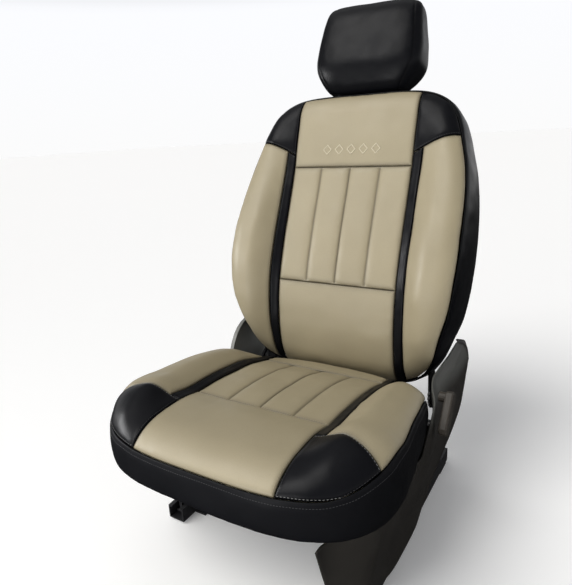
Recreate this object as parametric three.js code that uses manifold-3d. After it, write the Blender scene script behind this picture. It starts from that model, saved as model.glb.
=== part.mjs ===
// A front vehicle seat dressed in a fitted two-tone cover set.
// Millimetres, +Z up. The seat faces -Y; +X is the occupant's left, the door side.
// Origin: bottom centre of the bounding box, on the floor under the slide rails.

import * as THREE from "three";
import { mergeVertices } from "three/addons/utils/BufferGeometryUtils.js";
import Module from "manifold-3d";

const wasm = await Module();
wasm.setup();

// ---------- driving dimensions ----------
const PIVOT = { y: 50, z: 190 }; // recliner axis, measured from the cushion's rear edge and the floor
const LEAN = THREE.MathUtils.degToRad(18); // backrest angle from vertical at rest
const COVER = 4; // thickness of the laminated cover
const SEAM_GAP = 0.8; // opening between two sewn panels
const FOAM_CLEAR = 7; // cover to foam

const CUSHION = {
  front: -472,
  rear: -10,
  halfWidthFront: 261,
  halfWidthRear: 240,
  frontPower: 3.6,
  rearPower: 3,
  cornerDrop: 47,
  sideDrop: 34,
  borderBottom: 197,
  borderBulge: 5,
  foamBottom: 198,
};
const BACK = {
  bottom: 8,
  top: 594,
  topPower: 5.2,
  bottomPower: 5,
  edgeDrop: 26,
  bandBulge: 4,
  cavityHalfWidth: 196,
  cavityFront: 56,
};
const HEADREST = { bottom: 607, top: 788, power: 4.5 };

// Cover layout, half widths across the seat and seam positions along it
const INSERT_HALF = 131; // centre panels
const STRIP_OUTER = 150; // outer edge of the dark strips
const CUSHION_SEAMS = { fluteFront: -304, fluteRear: -77, cornerInner: -350, cornerOuter: -384 };
const BACK_SEAMS = { lumbarTop: 196, yokeBottom: 441, shoulderInner: 466, shoulderOuter: 497 };

const RAIL = { x: 196, half: 18, front: -333, rear: 97 };
const POST = { x: 68, d: 60, radius: 6 };
const SIDE_FRAME = { inner: 210, outer: 214, front: -380, top: 172 };
const RECLINER = { radius: 30, pin: 8, plateInner: 190.3, plateOuter: 194.3 };
const SHIELD = { x: 243, thickness: 3 };
const LEVER = { y: -100, z: 260, inner: 257, outer: 271.5, length: 66, half: 13 };
const BUCKLE = { x: -259, y: -130, z: 140, half: 12.5, bottom: 194, top: 259 };

// ---------- colours of the materials ----------
const beige = material(0xb3a787, 0.55, 0);
const black = material(0x16171c, 0.42, 0);
const foamMat = material(0xd8cfae, 0.95, 0);
const steel = material(0x1c1c1e, 0.5, 0.6);
const bright = material(0xb8bac0, 0.25, 1);
const plastic = material(0x3b3a36, 0.6, 0);
const greyPlastic = material(0x6c6e6c, 0.6, 0);
const red = material(0xb3202c, 0.4, 0);
const webbing = material(0x24252a, 0.9, 0);

function material(color, roughness, metalness) {
  return new THREE.MeshStandardMaterial({ color, roughness, metalness });
}

// ---------- small maths ----------
const clamp01 = (t) => Math.min(1, Math.max(0, t));
const mix = (a, b, t) => a + (b - a) * t;
const smooth = (t) => {
  const s = clamp01(t);
  return s * s * (3 - 2 * s);
};

// Smooth curve through [input, output] knots, flat outside them.
function knots(table) {
  return (t) => {
    if (t <= table[0][0]) return table[0][1];
    const last = table.length - 1;
    if (t >= table[last][0]) return table[last][1];
    let i = 0;
    while (t > table[i + 1][0]) i++;
    const slope = (k) => {
      const a = table[Math.max(0, k - 1)];
      const b = table[Math.min(last, k + 1)];
      return (b[1] - a[1]) / (b[0] - a[0]);
    };
    const [x0, y0] = table[i];
    const [x1, y1] = table[i + 1];
    const h = x1 - x0;
    const s = (t - x0) / h;
    const m0 = slope(i) * h;
    const m1 = slope(i + 1) * h;
    const s2 = s * s;
    const s3 = s2 * s;
    return (2 * s3 - 3 * s2 + 1) * y0 + (s3 - 2 * s2 + s) * m0 + (3 * s2 - 2 * s3) * y1 + (s3 - s2) * m1;
  };
}

// ---------- solid helpers ----------
function geometryFrom(points, faces) {
  const geometry = new THREE.BufferGeometry();
  const flat = new Float32Array(points.length * 3);
  points.forEach((p, i) => p.toArray(flat, i * 3));
  geometry.setAttribute("position", new THREE.BufferAttribute(flat, 3));
  geometry.setIndex(faces.flat());
  return geometry;
}

function toSolid(geometry) {
  const clean = geometry.clone();
  clean.deleteAttribute("normal");
  clean.deleteAttribute("uv");
  const merged = mergeVertices(clean, 1e-3);
  return new wasm.Manifold(
    new wasm.Mesh({
      numProp: 3,
      vertProperties: merged.attributes.position.array,
      triVerts: new Uint32Array(merged.index.array),
    }),
  );
}

function toGeometry(solid) {
  const mesh = solid.getMesh();
  const geometry = new THREE.BufferGeometry();
  geometry.setAttribute("position", new THREE.BufferAttribute(new Float32Array(mesh.vertProperties), 3));
  geometry.setIndex(new THREE.BufferAttribute(new Uint32Array(mesh.triVerts), 1));
  return geometry;
}

function join(...geometries) {
  return toGeometry(geometries.map(toSolid).reduce((a, b) => a.add(b)));
}

function cut(body, ...tools) {
  return toGeometry(tools.map(toSolid).reduce((a, b) => a.subtract(b), toSolid(body)));
}

function box(x0, x1, y0, y1, z0, z1) {
  return new THREE.BoxGeometry(x1 - x0, y1 - y0, z1 - z0)
    .translate((x0 + x1) / 2, (y0 + y1) / 2, (z0 + z1) / 2);
}

// Round bar from a to b.
function rod(a, b, radius, sides = 12) {
  const from = new THREE.Vector3(...a);
  const to = new THREE.Vector3(...b);
  const along = to.clone().sub(from);
  const up = new THREE.Vector3(0, 1, 0);
  const turn = new THREE.Quaternion().setFromUnitVectors(up, along.clone().normalize());
  return new THREE.CylinderGeometry(radius, radius, along.length(), sides)
    .applyQuaternion(turn)
    .translate(...from.add(to).multiplyScalar(0.5).toArray());
}

// Round bar bent through points, with softened corners.
function bentRod(points, radius, bend, steps, sides = 8) {
  const path = new THREE.CurvePath();
  const p = points.map((q) => new THREE.Vector3(...q));
  let start = p[0];
  for (let i = 1; i < p.length; i++) {
    const last = i === p.length - 1;
    const back = p[i - 1].clone().sub(p[i]).normalize().multiplyScalar(bend);
    const end = last ? p[i] : p[i].clone().add(back);
    path.add(new THREE.LineCurve3(start, end));
    if (!last) {
      const next = p[i].clone().add(p[i + 1].clone().sub(p[i]).normalize().multiplyScalar(bend));
      path.add(new THREE.QuadraticBezierCurve3(end, p[i], next));
      start = next;
    }
  }
  const section = new THREE.Shape();
  for (let i = 0; i < sides; i++) {
    const a = (2 * Math.PI * i) / sides;
    const [x, y] = [radius * Math.cos(a), radius * Math.sin(a)];
    if (i) section.lineTo(x, y);
    else section.moveTo(x, y);
  }
  return new THREE.ExtrudeGeometry(section, { steps, bevelEnabled: false, extrudePath: path });
}

// Turns a shape drawn in (y, z) and extruded along its depth into seat axes.
const SIDE_VIEW = new THREE.Matrix4().makeBasis(
  new THREE.Vector3(0, 1, 0),
  new THREE.Vector3(0, 0, 1),
  new THREE.Vector3(1, 0, 0),
);

// Flat plate between x0 and x1, cut to an outline in the YZ plane, with round holes [y, z, radius].
function sidePlate(outline, x0, x1, holes = []) {
  const shape = new THREE.Shape(outline.map(([y, z]) => new THREE.Vector2(y, z)));
  const plate = new THREE.ExtrudeGeometry(shape, { depth: x1 - x0, bevelEnabled: false })
    .applyMatrix4(SIDE_VIEW).translate(x0, 0, 0);
  return cut(plate, ...holes.map(([y, z, r]) => rod([x0 - 1, y, z], [x1 + 1, y, z], r, 16)));
}

// The same body on the other side of the seat.
function mirrored(geometry) {
  return outward(geometry.clone().scale(-1, 1, 1));
}

// Closed loft through rings of equal length. closedLoop joins the last ring to the first.
function loft(rings, closedLoop = false) {
  const n = rings[0].length;
  const points = rings.flat();
  const faces = [];
  const count = closedLoop ? rings.length : rings.length - 1;
  for (let k = 0; k < count; k++) {
    const a = k * n;
    const b = ((k + 1) % rings.length) * n;
    for (let i = 0; i < n; i++) {
      const j = (i + 1) % n;
      faces.push([a + i, a + j, b + j], [a + i, b + j, b + i]);
    }
  }
  if (!closedLoop) {
    const end = (rings.length - 1) * n;
    const centre = (ring) =>
      ring.reduce((s, p) => s.add(p), new THREE.Vector3()).multiplyScalar(1 / n);
    points.push(centre(rings[0]), centre(rings[rings.length - 1]));
    for (let i = 0; i < n; i++) {
      const j = (i + 1) % n;
      faces.push([points.length - 2, j, i], [points.length - 1, end + i, end + j]);
    }
  }
  return outward(geometryFrom(points, faces));
}

// Turns every face round if the body came out inside out.
function outward(geometry) {
  if (toSolid(geometry).volume() >= 0) return geometry;
  const index = geometry.index.array;
  for (let i = 0; i < index.length; i += 3) {
    [index[i + 1], index[i + 2]] = [index[i + 2], index[i + 1]];
  }
  return geometry;
}

// A sewn panel: surface(u, v) thickened inwards. nu and nv are the numbers of cells.
// crowdU and crowdV gather the cells towards 1, or with a negative value towards 0.
function panel(surface, nu, nv, { crowdU = 0, crowdV = 0, thickness = COVER } = {}) {
  const gather = (t, crowd) => (crowd < 0 ? t ** (1 - crowd) : 1 - (1 - t) ** (1 + crowd));
  const outer = [];
  const inner = [];
  const step = 1e-3;
  for (let j = 0; j <= nv; j++) {
    for (let i = 0; i <= nu; i++) {
      const u = gather(i / nu, crowdU);
      const v = gather(j / nv, crowdV);
      const p = surface(u, v);
      const uAhead = Math.min(1, Math.max(2 * step, u + step));
      const vAhead = Math.min(1, Math.max(2 * step, v + step));
      const du = surface(uAhead, v).sub(surface(uAhead - 2 * step, v));
      const dv = surface(u, vAhead).sub(surface(u, vAhead - 2 * step));
      const normal = du.cross(dv).normalize();
      outer.push(p);
      inner.push(p.clone().addScaledVector(normal, -thickness));
    }
  }
  const at = (i, j) => j * (nu + 1) + i;
  const shift = outer.length;
  const faces = [];
  for (let j = 0; j < nv; j++) {
    for (let i = 0; i < nu; i++) {
      const [a, b, c, d] = [at(i, j), at(i + 1, j), at(i + 1, j + 1), at(i, j + 1)];
      faces.push([a, b, c], [a, c, d]);
      faces.push([shift + a, shift + c, shift + b], [shift + a, shift + d, shift + c]);
    }
  }
  const wall = (a, b) => faces.push([a, shift + a, shift + b], [a, shift + b, b]);
  for (let i = 0; i < nu; i++) {
    wall(at(i, 0), at(i + 1, 0));
    wall(at(i + 1, nv), at(i, nv));
  }
  for (let j = 0; j < nv; j++) {
    wall(at(0, j + 1), at(0, j));
    wall(at(nu, j), at(nu, j + 1));
  }
  return outward(geometryFrom([...outer, ...inner], faces));
}

// Blends four boundary curves, each giving [a, b] in the panel's flat layout, and leaves half a
// seam gap all round.
function layout({ low, high, left, right }) {
  const length = (f) => Math.hypot(f(1)[0] - f(0)[0], f(1)[1] - f(0)[1]);
  const insetU = SEAM_GAP / 2 / Math.min(length(low), length(high));
  const insetV = SEAM_GAP / 2 / Math.min(length(left), length(right));
  return (u0, v0) => {
    const u = mix(insetU, 1 - insetU, u0);
    const v = mix(insetV, 1 - insetV, v0);
    return [0, 1].map((k) =>
      (1 - v) * low(u)[k] + v * high(u)[k] + (1 - u) * left(v)[k] + u * right(v)[k] -
      ((1 - u) * (1 - v) * low(0)[k] + u * (1 - v) * low(1)[k] +
        (1 - u) * v * high(0)[k] + u * v * high(1)[k]));
  };
}

// ---------- assembly ----------
const seat = new THREE.Group();
const base = new THREE.Group(); // everything modelled in seat coordinates
const back = new THREE.Group(); // the backrest, upright about the recliner axis: y is minus the depth
const floor = new THREE.Group(); // what stays still on the vehicle floor
back.position.set(0, PIVOT.y, PIVOT.z);
back.rotation.x = -LEAN;
seat.add(base, back, floor);

function add(group, name, geometry, mat) {
  const mesh = new THREE.Mesh(geometry, mat);
  mesh.name = name;
  group.add(mesh);
  return mesh;
}

// ---------- cushion surface ----------
const cushionMid = (CUSHION.front + CUSHION.rear) / 2;
const cushionReach = (CUSHION.rear - CUSHION.front) / 2;
const cushionCentre = knots([
  [-480, 279], [-440, 285], [-395, 290], [-348, 290], [-304, 283], [-250, 281], [-200, 277], [-140, 269],
  [-77, 253], [-10, 240],
]);
const cushionHalf = (y) => mix(
  CUSHION.halfWidthFront, CUSHION.halfWidthRear, smooth((y + 385) / 230));
const cushionRise = knots([[-472, 4], [-420, 12], [-370, 22], [-300, 24], [-150, 22], [-80, 14], [-10, 4]]);

const cushionPower = (y) => (y < cushionMid ? CUSHION.frontPower : CUSHION.rearPower);

function cushionRho(x, y) {
  const p = cushionPower(y);
  const a = Math.abs(x) / cushionHalf(y);
  const b = Math.abs(y - cushionMid) / cushionReach;
  return (a ** p + b ** p) ** (1 / p);
}

function cushionTop(x, y) {
  const rho = cushionRho(x, y);
  const behindCentre = y > cushionMid && Math.abs(x) < STRIP_OUTER;
  const start = behindCentre ? 0.88 : mix(0.75, 0.8, smooth((y + 240) / 150));
  const q = clamp01((rho - start) / (1 - start));
  const corner = smooth((Math.abs(x) - 140) / 60) * smooth((-320 - y) / 60);
  const depth = mix(CUSHION.sideDrop, CUSHION.cornerDrop, Math.max(corner, smooth((y + 150) / 60)));
  const drop = depth * (1 - Math.sqrt(1 - (0.93 * q) ** 2));
  const rise = cushionRise(y) * smooth((Math.abs(x) - INSERT_HALF) / 62);
  return cushionCentre(y) + rise - drop;
}

// Half width of the cushion's outline at y, and the y of the outline at x towards the front or rear.
function cushionEdgeX(y) {
  const b = Math.abs(y - cushionMid) / cushionReach;
  const p = cushionPower(y);
  return cushionHalf(y) * (1 - Math.min(1, b) ** p) ** (1 / p);
}
function cushionEdgeY(x, towards) {
  const half = towards < 0 ? CUSHION.halfWidthFront : CUSHION.halfWidthRear;
  const p = towards < 0 ? CUSHION.frontPower : CUSHION.rearPower;
  return cushionMid + towards * cushionReach * (1 - Math.min(1, Math.abs(x) / half) ** p) ** (1 / p);
}

const onCushion = (flat) => (u, v) => {
  const [x, y] = flat(u, v);
  return new THREE.Vector3(x, y, cushionTop(x, y));
};

// y of the seam between a corner patch and its bolster
const cornerSeam = (x) => {
  const s = clamp01((Math.abs(x) - INSERT_HALF) / (CUSHION.halfWidthFront - INSERT_HALF));
  return mix(CUSHION_SEAMS.cornerInner, CUSHION_SEAMS.cornerOuter, s ** 1.6);
};

// ---------- cushion covers ----------
const straight = (a, b) => (t) => [mix(a[0], b[0], t), mix(a[1], b[1], t)];

function addPair(group, name, geometry, mat) {
  add(group, `${name}_left`, geometry, mat);
  add(group, `${name}_right`, mirrored(geometry), mat);
}

function cushionCovers() {
  const edge = INSERT_HALF;
  const outer = STRIP_OUTER;
  const { fluteFront, fluteRear } = CUSHION_SEAMS;
  const rearEdge = (x) => cushionEdgeY(x, 1);
  const frontEdge = (x) => cushionEdgeY(x, -1);

  add(base, "cushion_front_panel", panel(onCushion(layout({
    low: (u) => [mix(-edge, edge, u), frontEdge(mix(-edge, edge, u))],
    high: straight([-edge, fluteFront], [edge, fluteFront]),
    left: straight([-edge, frontEdge(edge)], [-edge, fluteFront]),
    right: straight([edge, frontEdge(edge)], [edge, fluteFront]),
  })), 10, 9, { crowdV: -0.7 }), beige);
  add(base, "cushion_fluted_panel", panel(onCushion(layout({
    low: straight([-edge, fluteFront], [edge, fluteFront]),
    high: straight([-edge, fluteRear], [edge, fluteRear]),
    left: straight([-edge, fluteFront], [-edge, fluteRear]),
    right: straight([edge, fluteFront], [edge, fluteRear]),
  })), 8, 6), beige);
  add(base, "cushion_rear_panel", panel(onCushion(layout({
    low: straight([-edge, fluteRear], [edge, fluteRear]),
    high: (u) => [mix(-edge, edge, u), rearEdge(mix(-edge, edge, u))],
    left: straight([-edge, fluteRear], [-edge, rearEdge(edge)]),
    right: straight([edge, fluteRear], [edge, rearEdge(edge)]),
  })), 8, 7, { crowdV: 0.7 }), beige);

  addPair(base, "cushion_strip", panel(onCushion(layout({
    low: (u) => [mix(edge, outer, u), cornerSeam(mix(edge, outer, u))],
    high: (u) => [mix(edge, outer, u), rearEdge(mix(edge, outer, u))],
    left: straight([edge, cornerSeam(edge)], [edge, rearEdge(edge)]),
    right: straight([outer, cornerSeam(outer)], [outer, rearEdge(outer)]),
  })), 2, 14, { crowdV: 0.5 }), black);

  // the bolster ends where the outline turns across the rear
  const heel = -60;
  const tip = bolsterTip();
  addPair(base, "cushion_bolster", panel(onCushion(layout({
    low: (u) => [mix(outer, tip[0], u), cornerSeam(mix(outer, tip[0], u))],
    high: (u) => {
      const x = mix(outer, cushionEdgeX(heel), u);
      return [x, rearEdge(x)];
    },
    left: straight([outer, cornerSeam(outer)], [outer, rearEdge(outer)]),
    right: (v) => {
      const y = mix(tip[1], heel, v);
      return [cushionEdgeX(y), y];
    },
  })), 9, 14, { crowdU: 0.7, crowdV: 0.6 }), beige);
  const noseX = 215;
  addPair(base, "cushion_corner", panel(onCushion(layout({
    low: (u) => {
      const x = mix(edge, noseX, u);
      return [x, frontEdge(x)];
    },
    high: (u) => [mix(edge, tip[0], u), cornerSeam(mix(edge, tip[0], u))],
    left: straight([edge, frontEdge(edge)], [edge, cornerSeam(edge)]),
    right: (v) => {
      const y = mix(frontEdge(noseX), tip[1], v);
      return [cushionEdgeX(y), y];
    },
  })), 8, 8, { crowdU: 0.6, crowdV: -0.6 }), black);
}

// Where the seam of the corner patch meets the outline of the cushion.
function bolsterTip() {
  let x = 240;
  for (let k = 0; k < 20; k++) x = cushionEdgeX(cornerSeam(x));
  return [x, cornerSeam(x)];
}

// Point of the cushion's outline at angle a, drawn in to the share rho of its size.
function cushionPoint(a, rho = 1) {
  const [c, s] = [Math.cos(a), Math.sin(a)];
  const p = 2 / (s < 0 ? CUSHION.frontPower : CUSHION.rearPower);
  const y = cushionMid + Math.sign(s) * cushionReach * rho * Math.abs(s) ** p;
  return [Math.sign(c) * cushionHalf(y) * rho * Math.abs(c) ** p, y];
}

// Rings on the way from the middle of a cushion surface to its outline, closer near the edge.
const RINGS = [0.3, 0.55, 0.72, 0.8, 0.86, 0.91, 0.95, 0.98, 0.995];
const SPOKES = 34;
const spokeAngles = Array.from({ length: SPOKES }, (_, k) => (2 * Math.PI * k) / SPOKES);

// Ring of points under a surface, each moved inset along the surface's own normal.
function insetRing(surface, pointAt, rho, inset) {
  const step = 0.5;
  return spokeAngles.map((a) => {
    const [x, y] = pointAt(a, rho);
    const dx = surface(x + step, y).sub(surface(x - step, y));
    const dy = surface(x, y + step).sub(surface(x, y - step));
    return surface(x, y).addScaledVector(dx.cross(dy).normalize(), -inset);
  });
}

// Outline pushed outwards by an offset, at a height
function offsetRing(outline, place) {
  return outline.map(([x, y], k) => {
    const [px, py] = outline[(k + outline.length - 1) % outline.length];
    const [nx, ny] = outline[(k + 1) % outline.length];
    return place(x, y, new THREE.Vector2(ny - py, px - nx).normalize());
  });
}

// Skirt round the cushion: a section carried round the outline, turned under at the bottom.
function cushionBorder() {
  const outline = Array.from({ length: 44 }, (_, k) => cushionPoint((2 * Math.PI * k) / 44));
  const rings = offsetRing(outline, (x, y, out) => {
    const top = cushionTop(x, y) - SEAM_GAP - 0.6;
    const bottom = CUSHION.borderBottom;
    const at = (offset, z) => new THREE.Vector3(x + out.x * offset, y + out.y * offset, z);
    const mid = (top + bottom) / 2;
    const b = CUSHION.borderBulge;
    return [
      at(0.5, top), at(b * 0.8, mix(top, mid, 0.5)), at(b, mid),
      at(b * 0.6, mix(bottom, mid, 0.4)), at(-4, bottom),
      at(-4 - COVER, bottom + COVER), at(b * 0.6 - COVER, mix(bottom, mid, 0.4)), at(b - COVER, mid),
      at(b * 0.8 - COVER, mix(top, mid, 0.5)), at(0.5 - COVER, top - 3.5),
    ];
  });
  add(base, "cushion_border", loft(rings, true), black);
}

// Elastic straps that pull the skirt tight under the seat
function coverStraps() {
  const half = 226;
  for (const [name, y] of [["front", -265], ["rear", -150]]) {
    const web = box(-half, half, y - 15, y + 15, 174.3, 175.8);
    const ends = [-1, 1].map((side) => box(
      side > 0 ? half - 1.5 : -half, side > 0 ? half : 1.5 - half, y - 15, y + 15, 174.3, 196.4));
    add(base, `cover_strap_${name}`, join(web, ...ends), webbing);
  }
}

// ---------- foam ----------
function cushionFoam() {
  const inset = COVER + FOAM_CLEAR;
  const surface = (x, y) => new THREE.Vector3(x, y, cushionTop(x, y));
  const rings = RINGS.map((rho) => insetRing(surface, cushionPoint, rho, inset));
  const edge = spokeAngles.map((a) => cushionPoint(a));
  const wall = (offset, z) => offsetRing(
    edge, (x, y, out) => new THREE.Vector3(x - out.x * offset, y - out.y * offset, z));
  const under = CUSHION.foamBottom;
  rings.push(wall(inset + 3, 215), wall(inset + 9, under + 4), wall(inset + 12, under));
  add(base, "cushion_foam", loft(rings), foamMat);
}

// ---------- backrest surface, in (x, height w up the back, depth d towards the front) ----------
const backMid = (BACK.bottom + BACK.top) / 2;
const backReach = (BACK.top - BACK.bottom) / 2;
const backCentre = knots([
  [8, 64], [22, 72], [60, 93], [110, 113], [196, 129], [280, 128], [360, 121], [441, 115],
  [500, 116], [594, 114],
]);
const backHalf = knots([
  [8, 220], [100, 226], [165, 240], [250, 247], [350, 245], [430, 236], [497, 224], [594, 215],
]);
const backRise = knots([
  [8, 0], [60, 9], [120, 27], [200, 36], [300, 34], [350, 30], [440, 18], [510, 8], [594, 0],
]);
const backRearFace = knots([[8, 18], [60, 10], [150, 4], [420, 2], [520, 12], [594, 30]]);

const backPower = (w) => (w > backMid ? BACK.topPower : BACK.bottomPower);
function backRho(x, w) {
  const p = backPower(w);
  return ((Math.abs(x) / backHalf(w)) ** p + (Math.abs(w - backMid) / backReach) ** p) ** (1 / p);
}
function backFront(x, w) {
  const q = clamp01((backRho(x, w) - 0.86) / 0.14);
  const drop = BACK.edgeDrop * (1 - Math.sqrt(1 - (0.93 * q) ** 2));
  return backCentre(w) + backRise(w) * smooth((Math.abs(x) - INSERT_HALF) / 66) - drop;
}
function backRear(x, w) {
  const q = clamp01((backRho(x, w) - 0.88) / 0.12);
  return backRearFace(w) + 14 * (1 - Math.sqrt(1 - (0.93 * q) ** 2));
}
function backEdgeX(w) {
  const p = backPower(w);
  return backHalf(w) * (1 - Math.min(1, Math.abs(w - backMid) / backReach) ** p) ** (1 / p);
}
// Height at which the outline crosses x, towards the top (1) or the bottom (-1)
function backEdgeW(x, towards) {
  let inside = backMid;
  let outside = towards > 0 ? BACK.top : BACK.bottom;
  for (let k = 0; k < 40; k++) {
    const w = (inside + outside) / 2;
    if (backEdgeX(w) > Math.abs(x)) inside = w;
    else outside = w;
  }
  return inside;
}
function backPoint(a, rho = 1) {
  const s = Math.sin(a);
  const p = s > 0 ? BACK.topPower : BACK.bottomPower;
  const c = Math.cos(a);
  const w = backMid + Math.sign(s) * backReach * rho * Math.abs(s) ** (2 / p);
  return [Math.sign(c) * backHalf(w) * rho * Math.abs(c) ** (2 / p), w];
}
const upright = (x, w, d) => new THREE.Vector3(x, -d, w);
const onBack = (flat) => (u, v) => {
  const [x, w] = flat(u, v);
  return upright(x, w, backFront(x, w));
};
const shoulderSeam = (x) => {
  const s = clamp01((Math.abs(x) - INSERT_HALF) / (220 - INSERT_HALF));
  return mix(BACK_SEAMS.shoulderInner, BACK_SEAMS.shoulderOuter, 1 - (1 - s) ** 1.6);
};

function backCovers() {
  const edge = INSERT_HALF;
  const outer = STRIP_OUTER;
  const topEdge = (x) => backEdgeW(x, 1);
  const bottomEdge = (x) => backEdgeW(x, -1);
  const { lumbarTop, yokeBottom } = BACK_SEAMS;

  add(back, "back_lumbar_panel", panel(onBack(layout({
    low: (u) => [mix(-edge, edge, u), bottomEdge(mix(-edge, edge, u))],
    high: straight([-edge, lumbarTop], [edge, lumbarTop]),
    left: straight([-edge, bottomEdge(edge)], [-edge, lumbarTop]),
    right: straight([edge, bottomEdge(edge)], [edge, lumbarTop]),
  })), 8, 9, { crowdV: -0.6 }), beige);
  add(back, "back_fluted_panel", panel(onBack(layout({
    low: straight([-edge, lumbarTop], [edge, lumbarTop]),
    high: straight([-edge, yokeBottom], [edge, yokeBottom]),
    left: straight([-edge, lumbarTop], [-edge, yokeBottom]),
    right: straight([edge, lumbarTop], [edge, yokeBottom]),
  })), 8, 6), beige);
  add(back, "back_yoke_panel", panel(onBack(layout({
    low: straight([-edge, yokeBottom], [edge, yokeBottom]),
    high: (u) => [mix(-edge, edge, u), topEdge(mix(-edge, edge, u))],
    left: straight([-edge, yokeBottom], [-edge, topEdge(edge)]),
    right: straight([edge, yokeBottom], [edge, topEdge(edge)]),
  })), 8, 8, { crowdV: 0.6 }), beige);

  const seamEnd = backEdgeX(BACK_SEAMS.shoulderOuter);
  const heel = 50;
  const shoulderCorner = 196;
  addPair(back, "back_strip", panel(onBack(layout({
    low: (u) => [mix(edge, outer, u), bottomEdge(mix(edge, outer, u))],
    high: (u) => [mix(edge, outer, u), shoulderSeam(mix(edge, outer, u))],
    left: straight([edge, bottomEdge(edge)], [edge, shoulderSeam(edge)]),
    right: straight([outer, bottomEdge(outer)], [outer, shoulderSeam(outer)]),
  })), 2, 14, { crowdV: -0.4 }), black);
  addPair(back, "back_bolster", panel(onBack(layout({
    low: (u) => {
      const x = mix(outer, backEdgeX(heel), u);
      return [x, bottomEdge(x)];
    },
    high: (u) => [mix(outer, seamEnd, u), shoulderSeam(mix(outer, seamEnd, u))],
    left: straight([outer, bottomEdge(outer)], [outer, shoulderSeam(outer)]),
    right: (v) => {
      const w = mix(heel, shoulderSeam(seamEnd), v);
      return [backEdgeX(w), w];
    },
  })), 9, 14, { crowdU: 0.7, crowdV: -0.4 }), beige);
  addPair(back, "back_shoulder", panel(onBack(layout({
    low: (u) => [mix(edge, seamEnd, u), shoulderSeam(mix(edge, seamEnd, u))],
    high: (u) => {
      const x = mix(edge, shoulderCorner, u);
      return [x, topEdge(x)];
    },
    left: straight([edge, shoulderSeam(edge)], [edge, topEdge(edge)]),
    right: (v) => {
      const w = mix(shoulderSeam(seamEnd), topEdge(shoulderCorner), v);
      return [backEdgeX(w), w];
    },
  })), 8, 8, { crowdU: 0.6, crowdV: 0.6 }), black);
}

// Clearance at the bottom corners of the backrest for the recliners and their arms
function reclinerRoom(radius) {
  const hollow = join(rod([164, 0, 0], [214, 0, 0], radius, 20), box(184, 198, -62, -6, 20, 78));
  return [hollow, mirrored(hollow)];
}

// Clearance through the bottom and top of the backrest's cover
function backOpenings() {
  const guides = [-POST.x, POST.x].map((x) => rod([x, -POST.d, 500], [x, -POST.d, 620], 12.8, 12));
  return [...guides, ...reclinerRoom(46)];
}

// Dark band round the backrest, from the front seam to the rear one.
function backBorder() {
  const outline = Array.from({ length: 44 }, (_, k) => backPoint((2 * Math.PI * k) / 44));
  const rings = offsetRing(outline, (x, w, out) => {
    const bulge = BACK.bandBulge * smooth((w - 20) / 80) * (1 - 0.7 * smooth((w - 560) / 25));
    const front = backFront(x, w) - SEAM_GAP - 0.6;
    const rear = backRear(x, w) + SEAM_GAP + 0.6;
    const at = (offset, share) => upright(x + out.x * offset, w + out.y * offset, mix(front, rear, share));
    const lip = 3.5 / (front - rear);
    return [
      at(0.5, 0), at(bulge * 0.7, 0.2), at(bulge, 0.5), at(bulge * 0.7, 0.8), at(0.5, 1),
      at(0.5 - COVER, 1 - lip), at(bulge * 0.7 - COVER, 0.8), at(bulge - COVER, 0.5),
      at(bulge * 0.7 - COVER, 0.2), at(0.5 - COVER, lip),
    ];
  });
  add(back, "back_border", cut(loft(rings, true), ...backOpenings()), black);
}

function backRearPanel() {
  const low = 50;
  const high = 575;
  const surface = (u, v) => {
    const w = mix(low, high, v);
    const half = backEdgeX(w) - 1.2;
    const x = mix(half, -half, u);
    return upright(x, w, backRear(x, w));
  };
  add(back, "back_rear_panel", panel(surface, 10, 10), black);
}

function backFoam() {
  const inset = COVER + FOAM_CLEAR;
  const front = (x, w) => upright(x, w, backFront(x, w));
  const rear = (x, w) => upright(x, w, backRear(x, w));
  const rings = RINGS.map((rho) => insetRing(front, backPoint, rho, inset));
  const edge = spokeAngles.map((a) => backPoint(a));
  rings.push(offsetRing(edge, (x, w, out) => {
    const mid = (backFront(x, w) + backRear(x, w)) / 2;
    return upright(x - out.x * inset, w - out.y * inset, mid);
  }));
  rings.push(...RINGS.toReversed().map((rho) => insetRing(rear, backPoint, rho, -inset)));
  const cavity = box(-BACK.cavityHalfWidth, BACK.cavityHalfWidth, -BACK.cavityFront, 40, -20, 548);
  const sockets = [-POST.x, POST.x].flatMap((x) => [
    rod([x, -POST.d, 430], [x, -POST.d, 620], 13.5, 12),
    box(x - 15, x + 15, -POST.d - 15, -30, 440, 560),
  ]);
  add(back, "back_foam", cut(loft(rings), cavity, ...sockets, ...reclinerRoom(47)), foamMat);
}

// ---------- backrest frame ----------
const FRAME = { x: 174, d: 32, radius: 12, top: 520, bottom: 62 };

function backFrame() {
  const tube = bentRod([
    [-FRAME.x, -FRAME.d, FRAME.bottom], [-FRAME.x, -FRAME.d, FRAME.top],
    [FRAME.x, -FRAME.d, FRAME.top], [FRAME.x, -FRAME.d, FRAME.bottom],
  ], FRAME.radius, 45, 16, 8);
  const crossbar = box(-FRAME.x, FRAME.x, -FRAME.d - 8, -FRAME.d + 8, 70, 100);
  const sockets = [-POST.x, POST.x].map((x) => {
    const sleeve = rod([x, -POST.d, 450], [x, -POST.d, 548], 12, 12);
    const bridge = box(x - 9, x + 9, -POST.d + 5, -FRAME.d, 500, 535);
    return cut(join(sleeve, bridge), rod([x, -POST.d, 440], [x, -POST.d, 560], 8.6, 12));
  });
  add(back, "back_frame", join(tube, crossbar, ...sockets), steel);

  // zigzag spring wire across the frame
  const wire = [];
  for (let k = 0; k < 6; k++) {
    const w = 150 + k * 52;
    const side = k % 2 ? 1 : -1;
    wire.push([side * 152, -FRAME.d, w], [-side * 152, -FRAME.d, w]);
  }
  add(back, "back_spring_wire", bentRod(wire, 2, 12, 44, 5), bright);
}

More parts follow.
